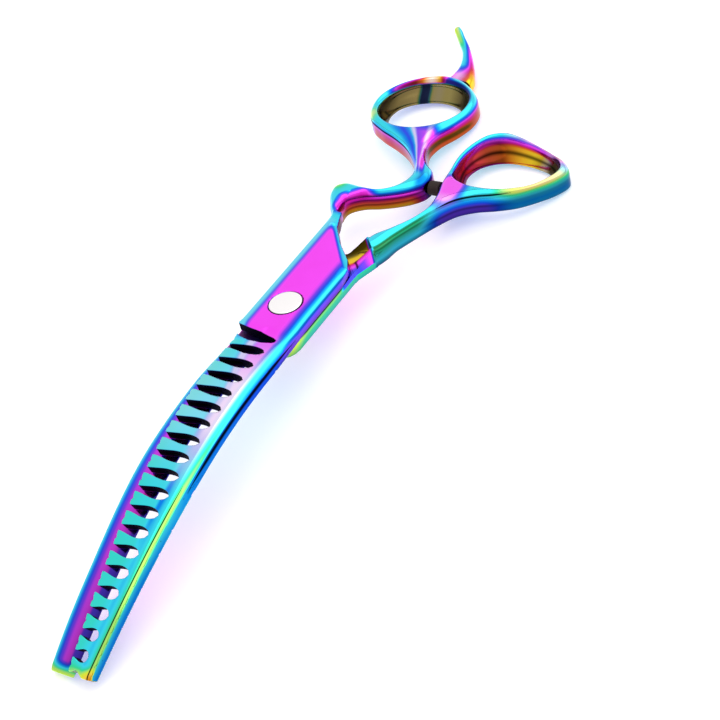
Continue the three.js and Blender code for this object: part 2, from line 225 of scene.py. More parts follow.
def crease(s):
    """Where the face of the toothed blade meets its leaning back wall."""
    return toothed_back(s) - lerp(0.8, 0.4, ramp(s, 50, 90)) * ramp(s, 5, 18)


def thinning(s, tip):
    """How much thinner a blade is at s than at its root."""
    return TIP_THINNING * ramp(s, BEND_START, tip)


def back_fall(s):
    """How far the toothed blade's face falls toward its back."""
    return lerp(0.85, 0.6, ramp(s, 10, 90))


def tooth_tip(s):
    return -5.4 + 2.3 * (1 - np.cos(np.pi * clamp((s - 19) / 79)))


def notch_end(s):
    near = 4.7 - 0.5 * ((50 - s) / 36) ** 2
    far = 4.7 - 1.85 * (np.maximum(s - 50, 0) / 39) ** 3
    return np.where(s > 50, far, near)


def plain_back(s):
    return -8.7 + 0.5 * ramp(s, 24, 10) + 1.35 * ramp(s, 42, 75)


def plain_edge(s):
    return -0.05 - 0.6 * np.maximum((s - 70) / 20, 0) ** 2


def notch_flank(s, side, count=14):
    """One flank of the notch centred at s, from its mouth to its closed end."""
    t = np.linspace(0, 1, count)
    swell = lerp(NOTCH_MOUTH, NOTCH_BELLY, ramp(t, 0, NOTCH_SWELL))
    u = clamp((t - NOTCH_SWELL) / (1 - NOTCH_SWELL))
    half = np.where(t < NOTCH_SWELL, swell, NOTCH_BELLY * np.sqrt(1 - u * u))
    y = lerp(tooth_tip(s), notch_end(s), t)
    return list(zip(s + side * half, y))


def toothed_outline():
    """The toothed blade and its shank, round to the weld inside the finger handle."""
    points = [(-34, -7.2), (-30, -SHANK_HALF), (5.6, -SHANK_HALF), (7.2, -7.4), (7.9, -3.6)]
    points += [(8.6, 0.6), (9.2, 3.1), (9.6, 3.7), (10.0, 3.9), (10.5, 3.9), (10.9, 3.5)]
    points += [(11.6, 1.3), (11.8, -1.8), (11.2, -4.2), (10.4, -5.6)]
    start = 11.0
    for n in range(1, TOOTH_COUNT + 1):
        centre = SECOND_NOTCH + (n - 1) * TOOTH_PITCH
        middle = (start + centre - NOTCH_MOUTH) / 2
        tip = float(tooth_tip(middle))
        points += [(middle - 0.5, tip), (middle, tip + 0.3), (middle + 0.5, tip)]
        left = notch_flank(centre, -1)
        right = notch_flank(centre, 1)[::-1][1:]
        points += [p for p in left + right if p[0] < TOOTHED_TIP]
        start = centre + NOTCH_MOUTH
    back = [(s, float(toothed_back(s))) for s in np.linspace(TOOTHED_TIP - 0.3, -12, 60)]
    cheek = [(-16, 6.6), (-19, 4.9), (-24, -0.1), (-28.6, -3.5), (-34, -5.6)]
    return points + [(TOOTHED_TIP, 2.6), (TOOTHED_TIP, 4.2)] + back + cheek


def plain_shank_outline():
    heel = [(14, -0.05), (12.2, 1.4), (11.2, 3.6), (9.4, 6.2), (8.2, 6.9), (6.5, 7.2)]
    under_arm = [(-18, 7.2), (-23, 8.9), (-27, 9.6), (-30.5, 9.6), (-30, 8.2), (-26.9, 5.3)]
    back = [(-23.2, 1.9), (-20.5, -4), (-19, -6.6), (-16, -7.2), (0, -7.3), (6, -7.7), (14, -8.3)]
    return heel + under_arm + back


def smooth_loop(points, per_span=10):
    """A closed centripetal Catmull-Rom curve through the points."""
    p = np.array(points, float)
    out = []
    for i in range(len(p)):
        p0, p1, p2, p3 = (p[(i + k) % len(p)] for k in (-1, 0, 1, 2))
        spans = ((p0, p1), (p1, p2), (p2, p3))
        d0, d1, d2 = (max(np.linalg.norm(b - a) ** 0.5, 1e-4) for a, b in spans)
        m1 = ((p1 - p0) / d0 - (p2 - p0) / (d0 + d1) + (p2 - p1) / d1) * d1
        m2 = ((p2 - p1) / d1 - (p3 - p1) / (d1 + d2) + (p3 - p2) / d2) * d1
        t = np.linspace(0, 1, per_span, endpoint=False)[:, None]
        t2, t3 = t * t, t * t * t
        curve = (2 * t3 - 3 * t2 + 1) * p1 + (t3 - 2 * t2 + t) * m1
        out.append(curve + (3 * t2 - 2 * t3) * p2 + (t3 - t2) * m2)
    return np.concatenate(out)


def ellipse(x, y, rx, ry, turn, count=160):
    a = np.linspace(0, 2 * np.pi, count, endpoint=False)
    ex, ey = rx * np.cos(a), ry * np.sin(a)
    c, s = math.cos(turn), math.sin(turn)
    return np.stack([x + ex * c - ey * s, y + ex * s + ey * c], 1)


# ---------- Distance fields and their surfaces ----------

REACH = 5.0  # how far from an outline its distance is exact


class Outline:
    """The signed distance to a closed outline, negative inside, kept on a flat grid."""

    def __init__(self, points, grid, soften=0):
        p = np.array(points, float)
        self.x, self.y = grid.x, grid.y
        distance = np.full((len(self.x), len(self.y)), REACH)
        crossings = np.zeros((len(self.x) + 1, len(self.y)), np.int32)
        for a, b in zip(p, np.roll(p, -1, 0)):
            self._nearer(distance, a, b)
            self._crossed(crossings, a, b)
        odd = np.cumsum(crossings, 0)[:-1] % 2 == 1
        self.values = np.where(odd, -distance, distance)
        for _ in range(soften):
            v = np.pad(self.values, 1, mode="edge")
            v = (v[:-2] + 2 * v[1:-1] + v[2:]) / 4
            self.values = (v[:, :-2] + 2 * v[:, 1:-1] + v[:, 2:]) / 4

    def _nearer(self, distance, a, b):
        lo, hi = np.minimum(a, b) - REACH, np.maximum(a, b) + REACH
        i0, i1 = np.searchsorted(self.x, (lo[0], hi[0]))
        j0, j1 = np.searchsorted(self.y, (lo[1], hi[1]))
        if i0 == i1 or j0 == j1:
            return
        dx = self.x[i0:i1, None] - a[0]
        dy = self.y[None, j0:j1] - a[1]
        along = b - a
        t = np.clip((dx * along[0] + dy * along[1]) / max(along @ along, 1e-12), 0, 1)
        d = np.hypot(dx - t * along[0], dy - t * along[1])
        np.minimum(distance[i0:i1, j0:j1], d, out=distance[i0:i1, j0:j1])

    def _crossed(self, crossings, a, b):
        """Notes, in each row that the edge crosses, the column where it does."""
        low, high = (a, b) if a[1] < b[1] else (b, a)
        j0, j1 = np.searchsorted(self.y, (low[1], high[1]))
        if j0 == j1:
            return
        t = (self.y[j0:j1] - low[1]) / (high[1] - low[1])
        columns = np.searchsorted(self.x, low[0] + t * (high[0] - low[0]))
        crossings[columns, np.arange(j0, j1)] += 1

    def at(self, x, y):
        """The distance at any points, by cubic interpolation."""
        step = self.x[1] - self.x[0]
        u = (np.asarray(x) - self.x[0]) / step
        v = (np.asarray(y) - self.y[0]) / step
        i = np.clip(np.floor(u).astype(int), 1, len(self.x) - 3)
        j = np.clip(np.floor(v).astype(int), 1, len(self.y) - 3)
        wu, wv = _cubic(u - i), _cubic(v - j)
        total = 0.0
        for a in range(4):
            row = sum(wv[b] * self.values[i + a - 1, j + b - 1] for b in range(4))
            total = total + wu[a] * row
        return total


def _cubic(t):
    t = np.clip(t, 0, 1)
    return (
        -0.5 * t + t * t - 0.5 * t ** 3,
        1 - 2.5 * t * t + 1.5 * t ** 3,
        0.5 * t + 2 * t * t - 1.5 * t ** 3,
        -0.5 * t * t + 0.5 * t ** 3,
    )


class Grid:
    """The evenly spaced places, on each axis, where a shape's field is sampled."""

    def __init__(self, low, high, step=STEP):
        self.step = step
        self.x, self.y, self.z = (np.arange(a, b + step, step) for a, b in zip(low, high))


class Shape:
    """A solid given by a field that is negative inside it. Subclasses set outlines and field."""

    def __init__(self, grid, outlines):
        self.grid = grid
        self.outlines = outlines

    def flat(self, x, y):
        return {name: o.at(x, y) for name, o in self.outlines.items()}

    def value(self, p):
        x, y, z = p.T
        return self.field(x, y, z, self.flat(x, y))

    def gradient(self, p, e=0.02):
        out = np.empty_like(p)
        for axis in range(3):
            d = np.zeros(3)
            d[axis] = e
            out[:, axis] = (self.value(p + d) - self.value(p - d)) / (2 * e)
        return out

    def surface(self):
        """Vertices on the surface, its outward normals there, and faces."""
        g = self.grid
        flat = {name: o.values[:, :, None] for name, o in self.outlines.items()}
        values = self.field(g.x[:, None, None], g.y[None, :, None], g.z[None, None, :], flat)
        points, quads, cells = surface_nets(values, (g.x[0], g.y[0], g.z[0]), g.step)
        for _ in range(5):
            slope = self.gradient(points)
            square = np.maximum((slope ** 2).sum(1), 0.05)
            move = -slope * (self.value(points) / square)[:, None]
            length = np.linalg.norm(move, axis=1, keepdims=True)
            points = points + move * np.minimum(1, 0.4 * g.step / np.maximum(length, 1e-9))
        points = self.sharpen(points, cells)
        return points, unit(self.gradient(points)), quads

    def sharpen(self, points, cells):
        """Subclasses pull the vertices of the cells on a sharp edge onto that edge."""
        return points


def surface_nets(values, origin, step):
    """One vertex in each cell that the surface crosses, and a quad across each crossed edge."""
    units = np.eye(3, dtype=int)
    inside = values < 0
    size = np.array(values.shape)
    count = np.zeros(size - 1, np.int8)
    corners = [(i, j, k) for i in (0, 1) for j in (0, 1) for k in (0, 1)]
    for i, j, k in corners:
        count += inside[i:size[0] - 1 + i, j:size[1] - 1 + j, k:size[2] - 1 + k]
    active = (count > 0) & (count < 8)
    cells = np.argwhere(active)
    index = np.full(active.shape, -1, np.int64)
    index[active] = np.arange(len(cells))
    total = np.zeros((len(cells), 3))
    hits = np.zeros(len(cells))
    for axis in range(3):
        one = units[axis]
        for corner in corners:
            if corner[axis]:
                continue
            a = cells + corner
            b = a + one
            fa, fb = values[tuple(a.T)], values[tuple(b.T)]
            cross = (fa < 0) != (fb < 0)
            t = np.where(cross, fa / np.where(cross, fa - fb, 1), 0)
            total += np.where(cross[:, None], a + t[:, None] * one, 0)
            hits += cross
    points = np.array(origin) + step * total / hits[:, None]
    quads = []
    for axis in range(3):
        one, u, v = units[axis], units[(axis + 1) % 3], units[(axis + 2) % 3]
        low = inside[tuple(slice(0, size[k] - one[k]) for k in range(3))]
        high = inside[tuple(slice(one[k], size[k]) for k in range(3))]
        edges = np.argwhere(low != high)
        ring = [index[tuple((edges - shift).T)] for shift in (u + v, v, 0 * u, u)]
        ring = np.stack(ring, 1)
        solid_below = low[tuple(edges.T)]
        quads.append(np.where(solid_below[:, None], ring, ring[:, ::-1]))
    return points, np.concatenate(quads), cells


def rounded(radial, vertical, r):
    """A prism's field with its edges rounded by r."""
    a, b = radial + r, vertical + r
    return np.hypot(np.maximum(a, 0), np.maximum(b, 0)) + np.minimum(np.maximum(a, b), 0) - r


def soft(u):
    """How far a convex bevel has fallen: 1 at the edge, 0 where it meets the flat."""
    return (1 - clamp(u)) ** 2


def handle_bar(outer, hole, z):
    """A handle's section: a crowned top that falls away to the rim, and rounded lower edges."""
    fall = 1.1 * soft(-outer / 1.9) + 0.8 * soft(hole / 1.3)
    vertical = np.maximum(z - HANDLE_HALF + fall, -HANDLE_HALF - z)
    wall = smooth_max(outer, -hole, 0.4)
    return rounded(wall, vertical, HANDLE_ROUND)


def bored(solid, x, y, z, recess, floor):
    """Cuts the pivot's bore, and the round recess that opens upward from its floor."""
    r = np.hypot(x - PIVOT[0], y - PIVOT[1])
    cut = np.minimum(np.maximum(r - recess, floor - z), r - BORE)
    return smooth_max(solid, -cut, 0.12)


# ---------- The two halves ----------


class ToothedHalf(Shape):
    def __init__(self):
        grid = Grid((-92.5, -23.5, -3.4), (95.2, 10.2, 3.5))
        outlines = {
            "blade": Outline(toothed_outline(), grid),
            "handle": Outline(smooth_loop(FINGER_OUTLINE), grid, soften=1),
            "hole": Outline(ellipse(**FINGER_HOLE), grid, soften=1),
        }
        super().__init__(grid, outlines)

    def top(self, x, y, blade):
        """The height of the blade's outer face, where blade is the distance to its outline."""
        on_blade = ramp(x, 9, 14)
        from_back = crease(x) - y
        from_tips = y - np.where(x < 9, -SHANK_HALF, tooth_tip(x))
        width = lerp(1.6, 2.2, ramp(y, -1, 1))
        shank = lerp(0.4, 0.75, ramp(y, -1, 1)) * soft(-blade / width)
        back = back_fall(x) * soft(from_back / lerp(2.3, 1.5, ramp(x, 10, 90)))
        tips = lerp(0.45, PLATE - TOOTH, ramp(x, 9, 30)) * soft(from_tips / 2.2)
        point = 0.35 * soft((TOOTHED_TIP - x) / 1.2)
        return PLATE - thinning(x, TOOTHED_TIP) - lerp(shank, back + tips, on_blade) - point

    def field(self, x, y, z, flat):
        crisp = lerp(0.3, 0.02, ramp(x, 4, 9))
        lean = (toothed_back(x) - crease(x)) * clamp((z - HALF_GAP) / 2)
        outline = np.maximum(flat["blade"], y - toothed_back(x) + lean)
        plate = smooth_max(outline, z - self.top(x, y, flat["blade"]), crisp)
        plate = smooth_max(plate, HALF_GAP - z, lerp(0.12, 0.02, ramp(x, 4, 9)))
        narrowing = lerp(1.5, 2.7, ramp(x, -80, -87)) * ramp(z, 1.2, -2.4)
        handle = handle_bar(flat["handle"], flat["hole"] + narrowing, z)
        rising = lerp(-HANDLE_HALF - 1, HALF_GAP, ramp(past(FINGER_WELD, x, y), -6.5, 0.5))
        handle = smooth_max(handle, (rising - z) * 0.85, 0.3)
        return bored(smooth_min(plate, handle, 0.9), x, y, z, HEAD_RECESS, HEAD_FLOOR)

    def sharpen(self, points, cells):
        """Sets the edges of the notches and the blade exactly where wall and face meet."""
        blade, g = self.outlines["blade"], self.grid
        i, j, k = cells.T
        corners = np.stack([blade.values[i + a, j + b] for a in (0, 1) for b in (0, 1)])
        on_wall = (corners.min(0) < 0) & (corners.max(0) > 0) & (points[:, 0] > 6)
        on_wall &= points[:, 1] < crease(points[:, 0]) - 0.6
        x, y = points[:, 0].copy(), points[:, 1].copy()
        for _ in range(4):
            e = 0.05
            d = blade.at(x, y)
            dx = (blade.at(x + e, y) - blade.at(x - e, y)) / (2 * e)
            dy = (blade.at(x, y + e) - blade.at(x, y - e)) / (2 * e)
            steep = np.maximum(dx * dx + dy * dy, 0.2)
            x, y = x - d * dx / steep, y - d * dy / steep
        bottom = np.full(len(x), HALF_GAP)
        edges = [(on_wall, x, y, self.top(x, y, 0 * x)), (on_wall, x, y, bottom)]
        s = points[:, 0].copy()
        behind = (s > 6) & (s < TOOTHED_TIP - 0.3)
        at_crease = self.top(s, crease(s), 0 * s)
        for back, level in ((crease(s), at_crease), (toothed_back(s), bottom)):
            edges.append((behind & (back >= g.y[j]) & (back < g.y[j] + g.step), s, back, level))
        for chosen, x, y, level in edges:
            low = g.z[k]
            near = chosen & (level >= low) & (level < low + g.step)
            near &= np.hypot(x - points[:, 0], y - points[:, 1]) < 1.5 * g.step
            points[near] = np.stack([x, y, level], 1)[near]
        return points


class PlainHalf(Shape):
    def __init__(self):
        grid = Grid((-73.5, -10.5, -3.4), (95.8, 40, 3.4))
        outlines = {
            "shank": Outline(plain_shank_outline(), grid),
            "handle": Outline(smooth_loop(THUMB_OUTLINE), grid, soften=1),
            "hole": Outline(smooth_loop(THUMB_HOLE), grid, soften=1),
            "hole_below": Outline(smooth_loop(THUMB_HOLE_BELOW), grid, soften=1),
        }
        super().__init__(grid, outlines)

    def blade(self, x, y, z):
        back, edge = plain_back(x), plain_edge(x)
        across = (y - back) / (edge - back)
        bottom = lerp(-(PLATE - thinning(x, PLAIN_TIP)), -EDGE, ramp(across, 0.25, 1))
        top = -HALF_GAP - 0.75 * soft((y - back) / 3.4) - 0.3 * soft((PLAIN_TIP - x) / 1.4)
        sides = smooth_max(back - y, np.maximum(y - edge, PLAIN_ROOT - x), 0.1)
        sides = smooth_max(sides, x - PLAIN_TIP, 0.5)
        ends = smooth_max(sides, z - top, 0.12)
        return smooth_max(ends, (bottom - z) * 0.92, 0.3)

    def scoop(self, x, y, z, past_end, flat):
        """The dished ramp that leads from the arm's end down to the flat shank."""
        inward = into_scoop(x, y)
        edge = bands(past_end, (0.4, 2.6), (2.5, 1.4), (4.1, 0.55), (5.6, -0.3))
        dish = 2.3 * hump(inward, 2.3, 2.2)
        height = smooth_max(edge - dish, -HALF_GAP - 0.4 * ramp(past_end, 3.5, 5.5), 0.5)
        sides = np.maximum(-inward, flat["shank"])
        wedge = smooth_max(np.maximum(sides, past_end - 6), (z - height) * 0.8, 0.25)
        return np.maximum(wedge, np.maximum(-PLATE - z, 0.2 - past_end))

    def field(self, x, y, z, flat):
        top = -HALF_GAP - 0.75 * soft((y - plain_back(x)) / 3.4) * ramp(x, 4, 10)
        shank = smooth_max(flat["shank"], np.maximum(z - top, -PLATE - z), 0.35)
        plate = smooth_min(shank, self.blade(x, y, z), 0.3)
        hole = lerp(flat["hole"], flat["hole_below"], ramp(z, 1.6, -2.4))
        handle = handle_bar(flat["handle"], hole, z)
        past_end = past(THUMB_WELD, x, y)
        handle = smooth_max(handle, np.minimum(past_end - 0.5, z + HALF_GAP), 0.25)
        whole = smooth_min(plate, handle, 1.2)
        whole = smooth_min(whole, self.scoop(x, y, z, past_end, flat), 0.3)
        return bored(whole, x, y, z, WASHER_RECESS, WASHER_FLOOR)


class FingerRest(Shape):
    def __init__(self):
        grid = Grid((-111.2, -17.8, -2.6), (-85, -0.4, 5.2), min(STEP, 0.3))
        super().__init__(grid, {"horn": Outline(smooth_loop(REST_OUTLINE), grid, soften=1)})

    def field(self, x, y, z, flat):
        t = along_rest(x)
        half = lerp(1.75, 0.85, t)
        middle = 3.1 * t * t
        horn = rounded(flat["horn"], np.abs(z - middle) - half, 0.8 * half)
        return smooth_max(horn, past(REST_FOOT, x, y) - 0.7, 0.25)


# ---------- From the flat frame to the part's frame ----------

PIVOT_AXIS = Vector(next(m for m in frame["record"]["mounts"] if m["name"] == "screw_face")["axis"])
ROLL = -math.asin(PIVOT_AXIS.y)
PITCH = math.atan2(PIVOT_AXIS.x, PIVOT_AXIS.z)
TILT = Matrix.Rotation(PITCH, 3, "Y") @ Matrix.Rotation(ROLL, 3, "X")
TILT_ARRAY = np.array(TILT)
PIVOT_FACE = (*PIVOT, HEAD_TOP)  # the part frame's origin
METRES = 0.001


def bend(p, n):
    """Lays flat points and their normals along the curve of the blades."""
    angle = np.maximum(0, p[:, 0] - BEND_START) / BEND_RADIUS
    c, s = np.cos(angle), np.sin(angle)
    radius = BEND_RADIUS + p[:, 2] - PLATE
    x = np.minimum(p[:, 0], BEND_START) + radius * s
    z = np.where(angle > 0, PLATE - BEND_RADIUS + radius * c, p[:, 2])
    turned = np.stack([n[:, 0] * c + n[:, 2] * s, n[:, 1], n[:, 2] * c - n[:, 0] * s], 1)
    return np.stack([x, p[:, 1], z], 1), turned


def to_part(p):
    """Shears frame in millimetres to the part's frame in metres."""
    return (p - np.array(PIVOT_FACE)) @ TILT_ARRAY.T * METRES


def add_object(name, data):
    obj = bpy.data.objects.new(name, data)
    bpy.context.scene.collection.objects.link(obj)
    return obj


def add_mesh(name, points, faces, normals, values):
    mesh = bpy.data.meshes.new(name)
    mesh.vertices.add(len(points))
    mesh.vertices.foreach_set("co", points.astype(np.float32).ravel())
    mesh.loops.add(faces.size)
    mesh.loops.foreach_set("vertex_index", faces.astype(np.int32).ravel())
    mesh.polygons.add(len(faces))
    mesh.polygons.foreach_set("loop_start", np.arange(len(faces), dtype=np.int32) * faces.shape[1])
    mesh.update(calc_edges=True)
    mesh.validate()
    mesh.shade_smooth()
    for key, value in values.items():
        layer = mesh.attributes.new(key, "FLOAT", "POINT")
        layer.data.foreach_set("value", value.astype(np.float32))
    mesh.normals_split_custom_set_from_vertices(normals.astype(np.float32))
    return add_object(name, mesh)


# ---------- The coating ----------
# film runs through the coating's colours: 0 gold, through red, magenta, violet, blue and cyan
# to green at 0.9 and gold again past 1. shade is painted shade: it darkens the colour where the
# steel lies in shade or mirrors dark surroundings. The whitening layer is a painted highlight,
# where the steel mirrors bright light, and the dark line along a crease is painted shade. Where
# shade is nearly 0 the steel is also dull.


class Paint:
    """The coating over a set of points: film, painted shade, painted highlight, and crease lines of painted
    shade.
    """

    def __init__(self, film):
        self.layers = dict(film=film, shade=np.ones_like(film), pale=np.zeros_like(film))
        self.line = np.full_like(film, 3.0)

    def over(self, where, **layers):
        """Lays new film, painted shade or painted highlight over the old; where says how much, from 0 to 1.
        """
        for key, value in layers.items():
            self.layers[key] = lerp(self.layers[key], value, where)

    def crease(self, distance, width, strength):
        """A dark line of painted shade where distance is 0, as wide as width, that vanishes with strength.
        """
        line = distance / np.maximum(width * strength, 1e-4)
        self.line = np.where(np.abs(line) < np.abs(self.line), line, self.line)

    def values(self):
        return dict(self.layers, line=np.clip(self.line, -3, 3))


def coating_of_toothed_half(p, n):
    paint = Paint(np.full(len(p), 0.49))
    paint_toothed_top(paint, p)
    paint_toothed_walls(paint, p, n)
    paint_finger_handle(paint, p, n)
    paint_underside(paint, p, n)
    return paint.values()


def shank_film(x, y, back):
    """The shank is magenta inside a cyan border."""
    left = bands((y + SHANK_HALF) / 2.4, (0, 0.83), (0.55, 0.825), (0.78, 0.72), (0.95, 0.57), (1.3, 0.49))
    cheek = (x + 28.6) * 0.625 - (y + 3.5) * 0.78
    cheek = bands(cheek, (0, 0.83), (0.5, 0.8), (0.9, 0.67), (1.2, 0.53), (1.5, 0.49))
    border = bands(
        back / 2.8, (0, 0.68), (0.08, 0.7), (0.18, 0.82), (0.32, 0.83), (0.46, 0.75), (0.72, 0.67),
        (1.0, 0.58), (1.25, 0.52), (1.5, 0.49),
    )
    film = np.maximum(np.maximum(left, cheek), border)
    return lerp(film, 0.82, ramp(x, -26.5, -30))


def blade_film(x, y, back, teeth):
    """The blade drifts from lilac to cyan, with cyan teeth and a yellow-green end; paint_toothed_top
    whitens the lilac with a painted highlight.
    """
    middle = lerp(0.52, 0.83, ramp(x, 36, 50))
    near = bands(
        back / 2.0, (0, 0.74), (0.12, 0.78), (0.3, 0.84), (0.6, 0.82), (0.85, 0.73), (1.1, 0.62),
        (1.4, 0.52),
    )
    near = near + 0.1 * ramp(back, 0.8, 0.2) * ramp(x, 26, 36)
    far = bands(
        back, (0, 0.92), (0.35, 0.975), (0.8, 0.93), (1.2, 0.87), (1.8, 0.83), (2.4, 0.8), (3.2, 0.83)
    )
    film = lerp(np.maximum(near, middle), far, ramp(x, 34, 56))
    tooth = lerp(0.83, 0.865, ramp(x, 30, 80)) + 0.02 * ramp(notch_end(x) - y, 4, 9)
    film = lerp(film, tooth, teeth)
    film = lerp(film, 0.69, 0.85 * hump(x, 55, 14) * hump(back, 3.3, 1.1))
    end = ramp(x, 90.8, 93.7) * ramp(y, -4, 4)
    return film + 0.22 * end


def paint_toothed_top(paint, p):
    x, y = p.T[:2]
    back = crease(x) - y
    on_blade = ramp(x, 8, 13)
    from_root = notch_end(x) - y
    teeth = ramp(from_root, lerp(2.5, 0.4, ramp(x, 13, 30)), lerp(7, 3, ramp(x, 13, 30)))
    film = lerp(shank_film(x, y, back), blade_film(x, y, back, teeth), on_blade)
    # lilac and soft_edge weigh painted highlights that whiten the blade's lilac middle and the shank's left
    # border.
    lilac = hump(x, 31, 24) * ramp(back, 0.9, 2.0) * (1 - 0.8 * teeth)
    soft_edge = ramp(y + SHANK_HALF, 2.8, 1.5) * (1 - on_blade)
    paint.over(1.0, film=film, pale=clamp(1.2 * lilac) * 0.85 + 0.12 * soft_edge)
    # A painted highlight whitens the roots of the first teeth.
    paint.over(clamp(1.4 * hump(teeth, 0.45, 0.45)) * ramp(x, 40, 28) * on_blade, pale=0.7)
    # Painted shade darkens a band along the shank's back border, and a painted dark line follows the crease
    # toward the tip.
    paint.over(hump(back, 0.25, 0.4) * (1 - on_blade), shade=0.4)
    paint.crease(back - 0.75, 0.17, ramp(x, 46, 60))


def paint_toothed_walls(paint, p, n):
    x, y, z = p.T
    nx, ny, nz = n.T
    upright = ramp(1 - np.abs(nz), 0.42, 0.75)
    side = upright * ramp(x, -31, -28)
    down = clamp((PLATE - z) / (PLATE - HALF_GAP))
    # The back wall: painted shade darkens it toward its bottom and along the blade.
    film = lerp(bands(down, (0, 0.66), (0.35, 0.62), (1, 0.57)), 0.635, ramp(x, 8, 16))
    film = lerp(film, bands(down, (0, 0.86), (0.4, 0.8), (0.7, 0.74), (1, 0.7)), ramp(x, 46, 62))
    shade = lerp(bands(down, (0, 1), (0.6, 0.85), (1, 0.4)), 0.55, ramp(x, 10, 50))
    paint.over(side * ramp(ny, 0.3, 0.75), film=film, shade=shade)
    # A painted dark line, standing in for a dark reflection, runs near the top of the back wall.
    edge = PLATE - thinning(x, TOOTHED_TIP) - back_fall(x)
    paint.crease(z - edge + 0.5, 0.5, ramp(x, 4, 20) * ramp(x, 54, 42) * (ny > 0))
    # Light is lost inside the notches, and on the cheek that faces the thumb's arm.
    inner = np.maximum(side, ramp(z, 1.8, 1.2)) * (x > 5.2) * (crease(x) - y > 0.8)
    inner = inner * np.maximum(x > 7.3, nx > 0)
    paint.over(inner, film=0.6, shade=0.02, pale=0)
    cheek = upright * (nx < -0.1) * (ny > 0.3) * ramp(y, 6.4, 5.4)
    paint.over(cheek * (x < -12) * (x > -34) * (z < 2), film=0.12, shade=0.05, pale=0)
    # Painted shade darkens the blade's end face.
    end = side * ramp(nx, 0.5, 0.9) * (x > TOOTHED_TIP - 1)
    paint.over(end, film=lerp(0.95, 1.15, ramp(y, 1, 4.5)), shade=0.45)


def down_side(z):
    """0 at the top of a handle, 1 at its lowest."""
    return (HANDLE_HALF - z) / (2 * HANDLE_HALF)


def paint_finger_handle(paint, p, n):
    x, y, z = p.T
    here = ramp(x, -29.5, -32)
    down = down_side(z)
    paint_finger_ring(paint, x, down, n, here)
    paint_finger_arm(paint, x, y, down, n, here)
    paint_horn(paint, p, down, n, here)
    paint_finger_stop(paint, x, y, down, n, here)
    paint_neck(paint, x, y, here * ramp(down, 0.32, 0.2))
    paint_finger_rim(paint, x, y, down, here)


def paint_finger_ring(paint, x, down, n, here):
    """The ring has a cyan top, then violet, crimson and gold down its side, which painted shade darkens."""
    ny = n[:, 1]
    right_film = bands(
        down, (0, 0.84), (0.13, 0.83), (0.19, 0.72), (0.25, 0.62), (0.31, 0.5), (0.38, 0.38), (0.48, 0.31),
        (0.7, 0.25), (0.88, 0.18), (1, 0.1),
    )
    right_shade = bands(down, (0, 1), (0.18, 1), (0.25, 0.6), (0.4, 0.62), (0.8, 0.6), (1, 0.4))
    left_film = bands(
        down, (0, 0.83), (0.13, 0.84), (0.2, 0.75), (0.28, 0.64), (0.36, 0.46), (0.5, 0.34), (0.75, 0.27),
        (1, 0.2),
    )
    left_shade = bands(down, (0, 1), (0.22, 1), (0.3, 0.5), (0.45, 0.6), (1, 0.7))
    right = ramp(ny, -0.25, 0.25)
    film, shade = lerp(left_film, right_film, right), lerp(left_shade, right_shade, right)
    paint.over(here, film=film, shade=shade, pale=0)
    # A dark streak of painted reflection across the right wall.
    dark_reflection = hump(down, 0.62 - 0.008 * (x + 70), 0.2) * ramp(x, -80, -74) * ramp(x, -60, -64) * (ny > 0.2)
    paint.over(clamp(1.5 * dark_reflection), film=0.13, shade=0.1)
    # A dark painted line of shade along the left side.
    paint.crease(down - 0.27, 0.05, here * (ny < 0) * ramp(x, -72, -68) * ramp(x, -56, -62))


def paint_finger_arm(paint, x, y, down, n, here):
    """The arm between the horn and the stop; painted shade and dark painted lines run down its side."""
    film = bands(
        down, (0, 0.84), (0.12, 0.82), (0.19, 0.7), (0.25, 0.62), (0.31, 0.53), (0.38, 0.42), (0.46, 0.34),
        (0.55, 0.26), (0.68, 0.2), (0.8, 0.13), (1, 0.08),
    )
    shade = bands(
        down, (0, 1), (0.17, 0.9), (0.22, 0.3), (0.29, 0.6), (0.37, 0.65), (0.45, 0.06), (0.52, 0.4),
        (0.61, 0.5), (0.67, 0.08), (0.74, 0.4), (0.9, 0.35), (1, 0.12),
    )
    near_wall = here * ramp(x, -55, -50) * ramp(n[:, 0] + 1.6 * n[:, 1], -0.35, 0.1)
    paint.over(near_wall, film=film, shade=shade)
    # A facet near the horn: magenta to orange, with the painted shade lifted.
    facet = near_wall * hump(x, -36.5, 4) * hump(down, 0.45, 0.3)
    paint.over(0.9 * facet, film=0.38 - 0.22 * ramp(y, -7.5, -6), shade=1)


